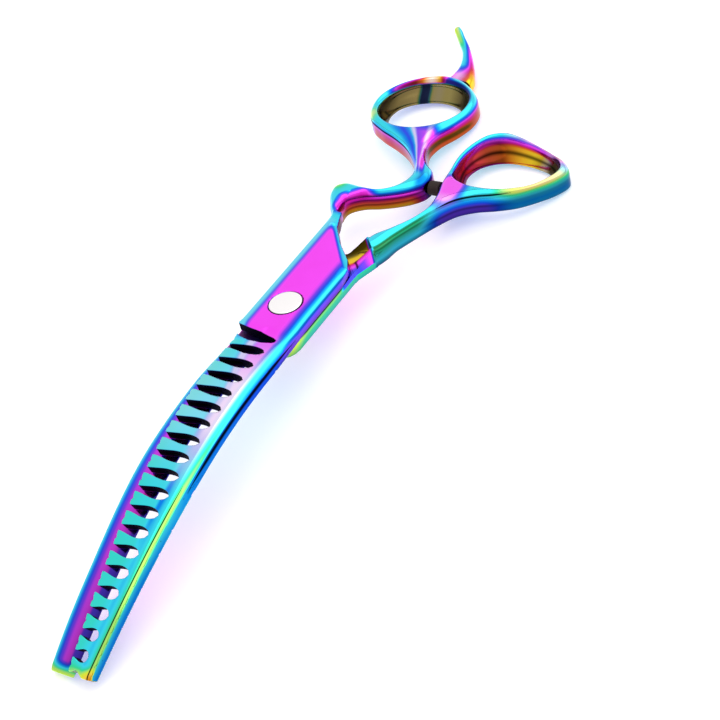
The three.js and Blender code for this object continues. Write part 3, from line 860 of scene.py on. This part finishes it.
def paint_horn(paint, p, down, n, here):
    """Inside the horn's bend the bevel is wide, and runs from blue to crimson."""
    x, y, z = p.T
    bend_x, bend_y = HORN_BEND
    inner_x = bands(y, (bend_y, bend_x), (-5, -41.1), (-1.2, -42.4))
    inner_y = bands(x, (bend_x, bend_y), (-35.4, -7.1), (-32, -5.5))
    corner = np.hypot(np.minimum(x - bend_x, 0), np.minimum(y - bend_y, 0))
    along_neck = (inner_x - x) * bands(y, (-6.5, 0.74), (-3, 0.95))
    to_edge = np.where(y > bend_y, along_neck, np.where(x > bend_x, inner_y - y, corner))
    bevel = here * ramp(to_edge, 2.4, 2.0) * spot(x, y, -39.4, -6.6, 7.5) * ramp(down, 0.42, 0.3)
    film = bands(to_edge, (0, 0.36), (0.5, 0.42), (1.0, 0.52), (1.5, 0.64), (2.3, 0.8))
    paint.over(clamp(2.2 * bevel), film=film)
    # Painted shade: the root, where the arm meets the shank, is dark crimson.
    root = ramp(x, -33.5, -31) * ramp(x, -25, -27) * ramp(n[:, 2], 0.75, 0.55) * (y > -7) * (z < 2.3)
    paint.over(root, film=0.3, shade=0.1, pale=0)
    # The horn's own end is yellow-green over blue, darkened below by painted shade.
    horn = here * spot(x, y, -43.4, -12.2, 4)
    lower = ramp(down, 0.15, 0.4)
    paint.over(0.95 * horn, film=lerp(1.0, 0.72, lower), shade=lerp(1, 0.3, lower))


def paint_finger_stop(paint, x, y, down, n, here):
    """A blue ridge with a painted dark line, and an end wall darkened by painted shade, where the two
    handles stop on each other.
    """
    ridge = spot(x, y, -49.5, 7, 2.6, 1.6) * ramp(down, 0.35, 0.1)
    paint.over(0.8 * ridge * here, film=0.69)
    paint.over(0.45 * hump(y - 0.1 * x - 11.2, 0, 0.9) * ridge * here, shade=0.15)
    stop = here * ramp(n[:, 1], 0.1, 0.6) * ramp(down, 0.14, 0.26) * hump(x, -50, 4.5)
    paint.over(stop, film=0.62, shade=bands(down, (0.1, 0.35), (0.4, 0.08), (1, 0.05)))


def paint_neck(paint, x, y, weight):
    """Bright lines of painted highlight fan out from the neck to both sides of the finger ring."""
    across = -0.433 * (x + 68.7) + 0.901 * (y + 3.7)
    q = across / bands(x, (-70, 2.6), (-66, 1.7), (-64, 1.2), (-61, 0.75), (-56, 0.4))
    film = bands(
        q, (-4.5, 0.84), (-3.4, 0.74), (-2.4, 0.65), (-1.7, 0.72), (-1.3, 0.8), (-0.7, 0.58), (0, 0.565),
        (0.8, 0.54), (1.3, 0.49), (2, 0.45), (3, 0.4),
    )
    pale = 0.75 * hump(q, -0.95, 0.5) + 0.6 * hump(q, 1.0, 0.45)
    neck = weight * ramp(x, -71.5, -66.5) * ramp(x, -50, -55) * ramp(q, -6, -4) * ramp(q, 5, 2.5)
    neck = neck * lerp(1, ramp(q, 2.4, 1.2), ramp(x, -64, -69))
    paint.over(neck, film=film, pale=pale)


def paint_finger_rim(paint, x, y, down, here):
    """The far rim runs through every colour; the near left rim turns yellow-green."""
    rim = here * ramp(x, -83, -86) * ramp(down, 0.4, 0.25)
    rim_film = bands(
        y, (-19, 0.83), (-16.5, 0.7), (-14.5, 0.5), (-13.3, 0.2), (-11.7, 0.08), (-9.6, 0.08), (-8.3, 0.4),
        (-6.8, 0.66), (-5, 0.83),
    )
    # Painted highlights whiten the far rim's middle and a spot on the near left rim.
    paint.over(rim, film=rim_film, pale=0.6 * hump(y, -11.4, 2.2))
    paint.over(0.9 * here * spot(x, y, -71, -19.5, 3.8), film=1.0, pale=0.3)
    # Painted shade darkens the lip along the hole's edge and the wall inside the hole, to near black in a
    # navy band; a painted highlight greys the inside wall.
    hole = toothed_half.outlines["hole"].at(x, y)
    lip = here * ramp(hole, 1.3, 0.5) * ramp(x, -79, -83) * ramp(down, 0.5, 0.3)
    lip_film = bands(y, (-19, 0.5), (-16, 0.3), (-13, 0.13), (-9, 0.12), (-7.4, 0.62), (-3, 0.66))
    lip_shade = bands(y, (-19, 0.4), (-15, 0.2), (-12.6, 0.9), (-10, 0.9), (-8, 0.25), (-3, 0.15))
    paint.over(lip, film=lip_film, shade=lip_shade)
    inner_film = bands(y, (-14.3, 1.1), (-13.3, 0.68), (-11.9, 0.7), (-10.9, 1.08))
    inner_film = lerp(inner_film, 1.18, ramp(down, 0.4, 0.25) * ramp(y, -13.6, -14.8))
    inner_shade = bands(
        y, (-19.5, 0.04), (-17.8, 0.2), (-14.5, 0.28), (-13.5, 0.05), (-11.8, 0.06), (-10.8, 0.28),
        (-6, 0.3), (-3, 0.14), (-0.5, 0.03),
    )
    inner = here * ramp(hole, 0.5, 0.15) * ramp(down, 0.13, 0.24)
    paint.over(inner, film=inner_film, shade=inner_shade, pale=0.2 + 0.15 * hump(y, -9.3, 2.2))


def paint_underside(paint, p, n):
    """Below, the colour drifts slowly between blue and cyan, slightly darkened by painted shade."""
    under = 0.66 + 0.16 * np.sin(p[:, 0] / 14.0)
    paint.over(ramp(-n[:, 2], 0.6, 0.9), film=under, shade=0.9, pale=0)


def coating_of_plain_half(p, n):
    x, y = p.T[:2]
    from_back = y - plain_back(x)
    film = bands(from_back, (0, 0.86), (0.5, 0.8), (1.3, 0.68), (2.1, 0.59), (3.0, 0.53), (4, 0.515))
    paint = Paint(film)
    paint_plain_blade(paint, x, y)
    paint_plain_shank(paint, p, n)
    paint_scoop(paint, p)
    paint_thumb_handle(paint, p, n)
    paint_underside(paint, p, n)
    return paint.values()


def paint_plain_blade(paint, x, y):
    from_edge = plain_edge(x) - y
    # Painted shade darkens the blade toward its cutting edge, under the toothed blade, and a little at the
    # tip.
    shade = bands(from_edge, (0, 0.25), (1.2, 0.4), (2.6, 0.45), (3.6, 0.6), (5.2, 0.75), (7, 1))
    paint.over(1.0, shade=shade)
    film = bands(from_edge, (0.6, 0.62), (1.6, 0.4), (2.8, 0.36), (4.2, 0.47))
    width = lerp(3.6, 2.6, ramp(x, 50, 75))
    paint.over(ramp(from_edge, width, width - 1), film=lerp(film, 0.62, ramp(x, 45, 75)))
    paint.over(ramp(x, 91.3, 94.2), film=0.98, shade=0.9)


def paint_plain_shank(paint, p, n):
    """Violet where it rides on the other half, dimmed by painted shade; green at the side, with a
    yellow-green upper edge.
    """
    x, y, z = p.T
    strip = ramp(x, 14.5, 12.5)
    paint.over(strip * ramp(x, -12, -9), film=0.52 + 0.12 * hump(y, 0, 7), shade=0.6)
    # Painted shade: what shows through the first notch is near black.
    paint.over(ramp(x, 4, 5.5) * ramp(x, 14, 12.5) * ramp(y, -8, -7), shade=0.08)
    strip = strip * np.maximum(ramp(n[:, 1], 0, 0.3), ramp(x, -9, -12))
    depth = clamp((-HALF_GAP - z) / (PLATE - HALF_GAP))
    green = bands(depth, (0, 0.95), (0.25, 0.93), (0.45, 0.9), (1, 0.86)) + 0.1 * ramp(x, 2, 11)
    # Painted shade darkens the green side toward its bottom, with a dark painted line along its upper edge.
    under = bands(depth, (0.04, 0.97), (0.12, 0)) * ramp(x, 7, 3)
    paint.over(strip, film=green, shade=bands(depth, (0, 1), (0.35, 0.8), (1, 0.45)) * (1 - under), pale=0)


def paint_scoop(paint, p):
    x, y, z = p.T
    inward = into_scoop(x, y)
    past_end = past(THUMB_WELD, x, y)
    here = ramp(x, -11, -13) * (z > -0.9) * ramp(past_end, 0.3, 0.7)
    film = bands(
        inward, (-0.5, 0.1), (1.5, 0.07), (3.8, 0.09), (4.5, 0.3), (5.0, 0.44), (5.8, 0.52), (7, 0.64)
    )
    # Painted shade: dark on the scoop's inner side, and on the arm's end face above it.
    shade = bands(inward, (0.2, 0.04), (1.2, 0.08), (1.9, 0.3), (2.5, 0.9), (3, 1))
    paint.over(here, film=film, shade=shade)
    paint.over(here * ramp(past_end, 1.3, 0.7), film=0.64, shade=0.35)


def paint_thumb_handle(paint, p, n):
    x, y, z = p.T
    here = ramp(past(THUMB_WELD, x, y), 1.0, 0.4) * (x < -17)
    down = down_side(z)
    hole = plain_half.outlines["hole"].at(x, y)
    near = ramp(n[:, 1] + 0.35 * n[:, 0], -0.35, 0.05)
    film, shade = thumb_wall(x, y, down)
    far_film = bands(
        down, (0, 0.83), (0.15, 0.84), (0.25, 0.72), (0.35, 0.58), (0.5, 0.45), (0.8, 0.3), (1, 0.2)
    )
    paint.over(here, film=lerp(far_film, film, near), shade=lerp(1.0, shade, near), pale=0)
    # A dark painted line of shade between the rim and the inside of the ring.
    paint.crease(down - 0.15, 0.05, here * near * ramp(x, -40, -44) * ramp(y, 30, 25) * (hole > 1.1))
    # Magenta web between the stop and the ring, whitened by a painted highlight, most toward the arm.
    web = spot(x, y, -47.8, 14.7, 5.8, 1.5) * ramp(down, 0.4, 0.15)
    paint.over(clamp(1.9 * web) * here, film=0.485, pale=0.08 + 0.25 * ramp(x, -46.5, -44))
    turn = np.degrees(np.arctan2(THUMB_CENTRE[1] - y, x - THUMB_CENTRE[0])) % 360
    paint_thumb_rim(paint, turn, here * ramp(x, -45, -52) * ramp(turn, 50, 62) * ramp(down, 0.24, 0.14))
    paint_thumb_inside(paint, turn, down, here * ramp(hole, 0.55, 0.15) * ramp(down, 0.05, 0.12))


def thumb_wall(x, y, down):
    """Film and painted shade, with dark painted streaks, down the handle's near side: along the arm, on its
    bow, and round the ring.
    """
    arm_film = bands(
        down, (0, 0.83), (0.1, 0.84), (0.17, 0.92), (0.35, 0.905), (0.5, 0.86), (0.65, 0.82), (0.85, 0.8),
        (1, 0.76),
    )
    arm_shade = bands(
        down, (0, 1), (0.11, 0.9), (0.17, 0.3), (0.24, 0.5), (0.31, 0.14), (0.4, 0.32), (0.6, 0.4),
        (0.7, 0.5), (0.84, 0.25), (1, 0.12),
    )
    bow_film = bands(
        down, (0, 0.83), (0.12, 0.84), (0.2, 0.8), (0.32, 0.74), (0.45, 0.66), (0.6, 0.61), (0.8, 0.6),
        (1, 0.64),
    )
    bow_shade = bands(
        down, (0, 1), (0.3, 0.75), (0.5, 0.55), (0.62, 0.12), (0.72, 0.3), (0.85, 0.22), (1, 0.15)
    )
    ring_film = bands(
        down, (0, 1.08), (0.1, 1.04), (0.2, 0.95), (0.34, 0.88), (0.5, 0.78), (0.7, 0.74), (1, 0.78)
    )
    ring_shade = bands(down, (0, 1), (0.22, 0.7), (0.36, 0.38), (0.5, 0.25), (0.75, 0.33), (1, 0.25))
    to_bow, to_ring = ramp(x, -35, -42), ramp(y, 23, 31)
    film = lerp(lerp(arm_film, bow_film, to_bow), ring_film, to_ring)
    return film, lerp(lerp(arm_shade, bow_shade, to_bow), ring_shade, to_ring)


def paint_thumb_rim(paint, turn, where):
    """Around the ring: cyan, then lilac, yellow and pink, and back through yellow-green, whitened in places
    by painted highlights.
    """
    film = bands(
        turn, (59, 0.83), (140, 0.83), (165, 0.8), (180, 0.6), (190, 0.53), (205, 0.47), (215, 0.3),
        (222, 0.1), (238, 0.07), (252, 0.42), (262, 0.8), (270, 0.97), (282, 1.08), (308, 1.08), (325, 1.0),
        (340, 0.92), (352, 0.84), (360, 0.83),
    )
    pale = bands(
        turn, (150, 0), (165, 0.35), (185, 0.55), (205, 0.35), (222, 0.5), (236, 0.7), (252, 0.5),
        (262, 0.4), (275, 0.35), (300, 0.25), (330, 0.1), (345, 0),
    )
    paint.over(where, film=film, pale=pale)


def paint_thumb_inside(paint, turn, down, where):
    """Inside the ring: violet, crimson and brown, then gold; painted shade and a painted highlight make it
    grey and black in places, with a dark painted line at mid-height.
    """
    deep = bands(
        turn, (60, 0.33), (100, 0.28), (125, 0.22), (150, 0.17), (170, 0.13), (200, 0.09), (225, 0.06),
        (300, 0.05),
    )
    film = lerp(bands(down, (0.06, 0.72), (0.16, 0.6), (0.28, 0.46)), deep, ramp(down, 0.26, 0.45))
    film = lerp(film, 0.52, ramp(down, 0.82, 0.95) * ramp(turn, 170, 120))
    shade = bands(
        turn, (60, 0.7), (100, 0.6), (125, 0.3), (145, 0.25), (160, 0.6), (185, 0.85), (215, 0.8),
        (232, 0.55), (243, 0.08), (268, 0.05), (300, 0.3),
    )
    shade = lerp(shade, 0.9, ramp(down, 0.3, 0.14) * ramp(turn, 240, 225))
    shade = shade * (1 - 0.85 * hump(down, 0.58, 0.1))
    shade = shade * lerp(1, 0.3, ramp(down, 0.75, 0.9) * ramp(turn, 150, 110))
    pale = bands(turn, (222, 0), (236, 0.45), (242, 0.1), (260, 0))
    paint.over(where, film=film, shade=shade, pale=pale)


def coating_of_rest(p, n):
    """From magenta and gold at the foot, through blue, to a green and yellow-green tip."""
    x, y = p.T[:2]
    t = along_rest(x)
    low = bands(-x, (88, -8.8), (95.5, -8.5), (98.5, -9.1), (102, -10.6), (105, -13), (109, -16.3))
    high = bands(-x, (88, -2), (91.6, -2), (94.5, -3.3), (98, -5.3), (104.5, -9.9), (109, -14.2))
    across = (y - low) / (high - low) + 0.5 * n[:, 1]
    left = bands(t, (0, 0.47), (0.08, 0.5), (0.2, 0.64), (0.3, 0.82), (0.6, 0.85), (0.75, 0.95), (1, 1.02))
    right = bands(
        t, (0, 0.08), (0.12, 0.14), (0.25, 0.3), (0.4, 0.42), (0.6, 0.55), (0.78, 0.74), (1, 0.86)
    )
    paint = Paint(lerp(left, right, ramp(across, 0.25, 1.1)))
    # Painted highlights whiten the foot and the tip; painted shade darkens one edge of the foot where it
    # meets the ring.
    paint.over(ramp(t, 0.22, 0.05) * hump(across, 0.35, 0.45), pale=0.45)
    paint.over(ramp(t, 0.75, 1) * hump(across, 0.5, 0.5), pale=0.35)
    paint.over(ramp(t, 0.07, 0.02) * ramp(across, 0.1, -0.1), film=0.5, shade=0.2)
    return paint.values()


FILM_RANGE = 1.2
COATING = [
    (0.00, (0.34, 0.27, 0.08)),
    (0.08, (0.95, 0.80, 0.18)),
    (0.17, (0.93, 0.45, 0.14)),
    (0.28, (0.84, 0.20, 0.30)),
    (0.39, (0.85, 0.12, 0.72)),
    (0.50, (1.00, 0.30, 1.00)),
    (0.58, (0.50, 0.26, 0.95)),
    (0.66, (0.10, 0.30, 0.92)),
    (0.74, (0.05, 0.57, 0.93)),
    (0.83, (0.24, 0.86, 0.95)),
    (0.91, (0.22, 0.86, 0.58)),
    (1.00, (0.84, 0.93, 0.25)),
    (1.09, (0.97, 0.84, 0.28)),
    (1.18, (0.88, 0.58, 0.14)),
]


def linear(colour):
    return [c / 12.92 if c <= 0.04045 else ((c + 0.055) / 1.055) ** 2.4 for c in colour]


class Nodes:
    """A material's node tree, written one node at a time."""

    def __init__(self, name):
        self.material = bpy.data.materials.new(name)
        self.material.use_nodes = True
        self.tree = self.material.node_tree
        self.shader = self.tree.nodes["Principled BSDF"]

    def add(self, kind, inputs=None, **settings):
        node = self.tree.nodes.new(kind)
        for key, value in settings.items():
            setattr(node, key, value)
        for key, value in (inputs or {}).items():
            if isinstance(value, bpy.types.NodeSocket):
                self.tree.links.new(value, node.inputs[key])
            else:
                node.inputs[key].default_value = value
        return node

    def link(self, source, name):
        self.tree.links.new(source, self.shader.inputs[name])

    def set(self, **values):
        for key, value in values.items():
            self.shader.inputs[key.replace("_", " ")].default_value = value

    def attribute(self, name):
        return self.add("ShaderNodeAttribute", attribute_name=name).outputs["Fac"]

    def noise(self, scale, detail=3.0):
        place = self.add("ShaderNodeTexCoord").outputs["Object"]
        inputs = {"Vector": place, "Scale": scale, "Detail": detail}
        return self.add("ShaderNodeTexNoise", inputs).outputs["Fac"]

    def math(self, operation, a, b):
        return self.add("ShaderNodeMath", {0: a, 1: b}, operation=operation).outputs[0]

    def uneven(self, scale, swing, least):
        """A value that wanders by swing, from least up."""
        return self.math("ADD", self.math("MULTIPLY", self.noise(scale), swing), least)

    def ramp(self, factor, stops):
        node = self.add("ShaderNodeValToRGB", {"Fac": factor})
        elements = node.color_ramp.elements
        while len(elements) < len(stops):
            elements.new(0.5)
        for element, (position, colour) in zip(elements, stops):
            element.position = position
            element.color = (*linear(colour), 1)
        return node.outputs["Color"]

    def mix(self, factor, a, b, blend_type="MIX"):
        inputs = {0: factor, 6: a, 7: b}
        return self.add("ShaderNodeMix", inputs, data_type="RGBA", blend_type=blend_type).outputs[2]

    def bump(self, height, strength, distance):
        node = self.add("ShaderNodeBump", {"Height": height, "Strength": strength, "Distance": distance})
        self.link(node.outputs["Normal"], "Normal")


def coated_steel():
    """Mirror-bright steel in the colours painted on its vertices, with painted shade, painted highlight and
    painted crease lines.
    """
    m = Nodes("coated_steel")
    drift = m.math("MULTIPLY", m.math("SUBTRACT", m.noise(120.0, 2.0), 0.5), 0.03)
    film = m.math("ADD", m.attribute("film"), drift)
    stops = [(position / FILM_RANGE, colour) for position, colour in COATING]
    colour = m.ramp(m.math("DIVIDE", film, FILM_RANGE), stops)
    # The whitening layer is a painted highlight.
    colour = m.mix(m.attribute("pale"), colour, (0.93, 0.86, 0.98, 1))
    # Painted shade: the vertices' shade, darkened further beside a crease line.
    line = m.math("ABSOLUTE", m.attribute("line"), 0.0)
    line_shade = m.add("ShaderNodeMapRange", {"Value": line, "From Min": 0.4, "To Min": 0.03})
    shade = m.math("MULTIPLY", m.attribute("shade"), line_shade.outputs[0])
    grey = m.add("ShaderNodeCombineColor", {0: shade, 1: shade, 2: shade}).outputs[0]
    colour = m.mix(1.0, colour, grey, "MULTIPLY")
    m.link(colour, "Base Color")
    m.set(Metallic=1.0)
    dull = m.add("ShaderNodeMapRange", {"Value": shade, "From Min": 0.12, "From Max": 0.0, "To Max": 0.8})
    m.link(m.math("ADD", m.uneven(900.0, 0.06, 0.13), dull.outputs[0]), "Roughness")
    m.bump(m.noise(2500.0, 2.0), 0.05, 0.00002)
    return m.material


def screw_steel():
    """Bright on top, and violet on what faces sideways: a painted reflection of the coated steel around it.
    """
    m = Nodes("screw_steel")
    normal = m.add("ShaderNodeTexCoord").outputs["Normal"]
    facing = m.add("ShaderNodeSeparateXYZ", {0: normal}).outputs[2]
    m.link(m.ramp(facing, [(0.55, (0.2, 0.12, 0.3)), (0.8, (1.0, 0.99, 0.985))]), "Base Color")
    m.set(Metallic=1.0)
    m.link(m.uneven(1500.0, 0.1, 0.2), "Roughness")
    m.bump(m.noise(3000.0, 2.0), 0.06, 0.00002)
    return m.material


def plain_material(name, colour, metallic, roughness, grain):
    """One colour with a fine grain. The grain is a frequency, per metre."""
    m = Nodes(name)
    dark = tuple(c * 0.8 for c in colour)
    m.link(m.ramp(m.noise(grain), [(0.3, dark), (0.7, colour)]), "Base Color")
    m.set(Metallic=metallic)
    m.link(m.uneven(grain * 2, 0.15, roughness), "Roughness")
    m.bump(m.noise(grain * 3), 0.15, 0.00003)
    if not metallic:
        m.set(Specular_IOR_Level=0.15)
    return m.material


# ---------- Build ----------


def skin(name, shape, coating, body, nodes):
    """One coated surface, with its colours, in place of the CAD nodes."""
    points, normals, faces = shape.surface()
    values = coating(points, normals)
    bent, turned = bend(points, normals)
    obj = add_mesh(name, to_part(bent), faces, turned @ TILT_ARRAY.T, values)
    obj.data.materials.append(STEEL)
    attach(obj, body)
    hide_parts(*nodes)


def lathe(name, profile, segments, ripple=None):
    """A turned piece about the pivot axis. The profile starts and ends on the axis or closes."""
    angles = np.linspace(0, 2 * np.pi, segments, endpoint=False)
    profile = np.array(profile, float)
    rows = []
    for r, z in profile:
        radius = ripple(r, angles) if ripple else r
        x, y = PIVOT[0] + radius * np.cos(angles), PIVOT[1] + radius * np.sin(angles)
        rows.append(np.stack([x, y, np.full(segments, z)], 1))
    points = np.concatenate(rows)
    faces = []
    for i in range(len(profile) - 1):
        a = i * segments + np.arange(segments)
        b = i * segments + (np.arange(segments) + 1) % segments
        faces.append(np.stack([a, b, b + segments, a + segments], 1))
    mesh = bpy.data.meshes.new(name)
    mesh.from_pydata(to_part(points).tolist(), [], np.concatenate(faces).tolist())
    weld_and_smooth(mesh)
    return add_object(name, mesh)


def weld_and_smooth(mesh):
    bm = bmesh.new()
    bm.from_mesh(mesh)
    bmesh.ops.remove_doubles(bm, verts=bm.verts, dist=1e-7)
    bmesh.ops.dissolve_degenerate(bm, edges=bm.edges, dist=1e-8)
    bmesh.ops.recalc_face_normals(bm, faces=bm.faces)
    bm.to_mesh(mesh)
    bm.free()
    mesh.shade_smooth()


def fillet(points, radius, steps=5):
    """Rounds every corner between the ends of an open profile."""
    p = [np.array(q, float) for q in points]
    out = [p[0]]
    for a, b, c in zip(p, p[1:], p[2:]):
        before, after = np.linalg.norm(a - b), np.linalg.norm(c - b)
        r = min(radius, 0.45 * before, 0.45 * after)
        start, end = b + r * (a - b) / before, b + r * (c - b) / after
        for t in np.linspace(0, 1, steps):
            out.append((1 - t) ** 2 * start + 2 * t * (1 - t) * b + t * t * end)
    return out + [p[-1]]


def screw():
    top, r, shaft = HEAD_TOP, HEAD_RADIUS, SHAFT_RADIUS
    head = [(0, top), (r - CHAMFER, top - 0.02), (r, top - CHAMFER), (r, HEAD_BOTTOM)]
    shank = [(shaft, HEAD_BOTTOM), (shaft, SHAFT_END), (0, SHAFT_END)]
    profile = fillet(head + shank, 0.15)
    obj = lathe("pivot_screw_turned", profile, 160)
    obj.data.materials.append(screw_steel())
    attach(obj, "toothed_half")
    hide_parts("pivot_screw")


def nut():
    def grips(radius, angles):
        dip = np.maximum(0, np.cos(NUT_GRIPS * angles)) ** 2 * GRIP_DEPTH
        return radius - dip * clamp((radius - NUT_RADIUS + 0.6) / 0.6)

    high, low, r, bore = NUT_TOP, NUT_BOTTOM, NUT_RADIUS, NUT_BORE
    ring = [(bore, high), (r - CHAMFER, high), (r, high - CHAMFER), (r, low + CHAMFER)]
    ring += [(r - CHAMFER, low), (bore + 0.6, low), (bore, low + 0.4), (bore, high)]
    obj = lathe("tension_nut_turned", fillet(ring, 0.12, 4), 200, grips)
    steel = plain_material("nut_steel", (0.86, 0.85, 0.88), metallic=1.0, roughness=0.2, grain=900.0)
    obj.data.materials.append(steel)
    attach(obj, "tension_nut")
    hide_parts("tension_nut")


STEEL = coated_steel()
toothed_half = ToothedHalf()
plain_half = PlainHalf()
toothed_nodes = ["toothed_blade", "finger_handle"]
plain_nodes = ["plain_blade", "thumb_handle"]
skin("toothed_half_skin", toothed_half, coating_of_toothed_half, "toothed_half", toothed_nodes)
skin("plain_half_skin", plain_half, coating_of_plain_half, "plain_half", plain_nodes)
skin("finger_rest_horn", FingerRest(), coating_of_rest, "toothed_half", ["finger_rest"])
screw()
nut()


def recolour(node, material):
    """The small parts keep their CAD shapes."""
    obj = frame["nodes"][node]
    obj.data.materials.clear()
    obj.data.materials.append(material)


WASHER_STEEL = plain_material("washer_steel", (0.75, 0.75, 0.77), metallic=1.0, roughness=0.25, grain=800.0)
POLYMER = plain_material("polymer", (0.91, 0.89, 0.84), metallic=0.0, roughness=0.4, grain=600.0)
recolour("thrust_washer", WASHER_STEEL)
recolour("tension_spring", WASHER_STEEL)
recolour("pivot_bushing", POLYMER)
recolour("ride_washer", POLYMER)
RUBBER = plain_material("rubber", (0.2, 0.16, 0.145), metallic=0.0, roughness=0.6, grain=700.0)
recolour("bumper", RUBBER)

# ---------- Floor, light and camera ----------

FLOOR_Z = CAD_BOX[0][2]
FLOOR_HALF = 4.0
ROOM_COLOUR = (1.0, 0.99, 1.0, 1)
ROOM_STRENGTH = 0.95
# The viewpoint of the photograph, in the shears' frame and in millimetres.
CAMERA_DISTANCE = 420.0
CAMERA_AZIMUTH = math.radians(41.97)
CAMERA_ELEVATION = math.radians(36.38)
CAMERA_ROLL = math.radians(14.9)
CAMERA_AIM = (10.7, 25.6, PLATE)
CAMERA_LENS = 97.76


def floor():
    signs = [(-1, -1), (1, -1), (1, 1), (-1, 1)]
    corners = [(FLOOR_HALF * x, FLOOR_HALF * y, FLOOR_Z) for x, y in signs]
    mesh = bpy.data.meshes.new("floor")
    mesh.from_pydata(corners, [], [(0, 1, 2, 3)])
    obj = add_object("floor", mesh)
    m = Nodes("floor")
    m.link(m.ramp(m.noise(6.0), [(0.3, (0.93, 0.928, 0.932)), (0.7, (0.94, 0.938, 0.942))]), "Base Color")
    m.set(Roughness=0.6, Emission_Strength=0.3, Emission_Color=ROOM_COLOUR)
    obj.data.materials.append(m.material)


def area_light(name, direction, distance, size, power):
    light = bpy.data.lights.new(name, "AREA")
    light.shape = "DISK"
    light.size = size
    light.energy = power
    obj = add_object(name, light)
    toward = Vector(direction).normalized()
    obj.location = toward * distance
    obj.rotation_euler = toward.to_track_quat("Z", "Y").to_euler()


def world():
    studio = bpy.data.worlds.new("studio")
    bpy.context.scene.world = studio
    studio.use_nodes = True
    background = studio.node_tree.nodes["Background"]
    background.inputs["Color"].default_value = ROOM_COLOUR
    background.inputs["Strength"].default_value = ROOM_STRENGTH


def camera():
    level = math.cos(CAMERA_ELEVATION)
    x, y = level * math.cos(CAMERA_AZIMUTH), level * math.sin(CAMERA_AZIMUTH)
    place = Vector((x, y, math.sin(CAMERA_ELEVATION)))
    place = place * CAMERA_DISTANCE + Vector((0, 0, PLATE))
    forward = (Vector(CAMERA_AIM) - place).normalized()
    up = (Vector((0, 0, 1)) - forward * forward.z).normalized()
    up = Matrix.Rotation(CAMERA_ROLL, 3, forward) @ up
    right = forward.cross(up)
    turn = TILT @ Matrix((right, up, -forward)).transposed()
    centre = TILT @ (place - Vector(PIVOT_FACE)) * METRES
    data = bpy.data.cameras.new("camera")
    data.sensor_width = 36
    data.lens = CAMERA_LENS
    data.clip_start = 0.01
    obj = add_object("camera", data)
    obj.matrix_world = Matrix.Translation(centre) @ turn.to_4x4()
    bpy.context.scene.camera = obj


floor()
world()
area_light("key", direction=(-0.5, 0.5, 1.2), distance=1.0, size=1.8, power=6.0)
camera()
bpy.context.scene.view_settings.view_transform = "Standard"
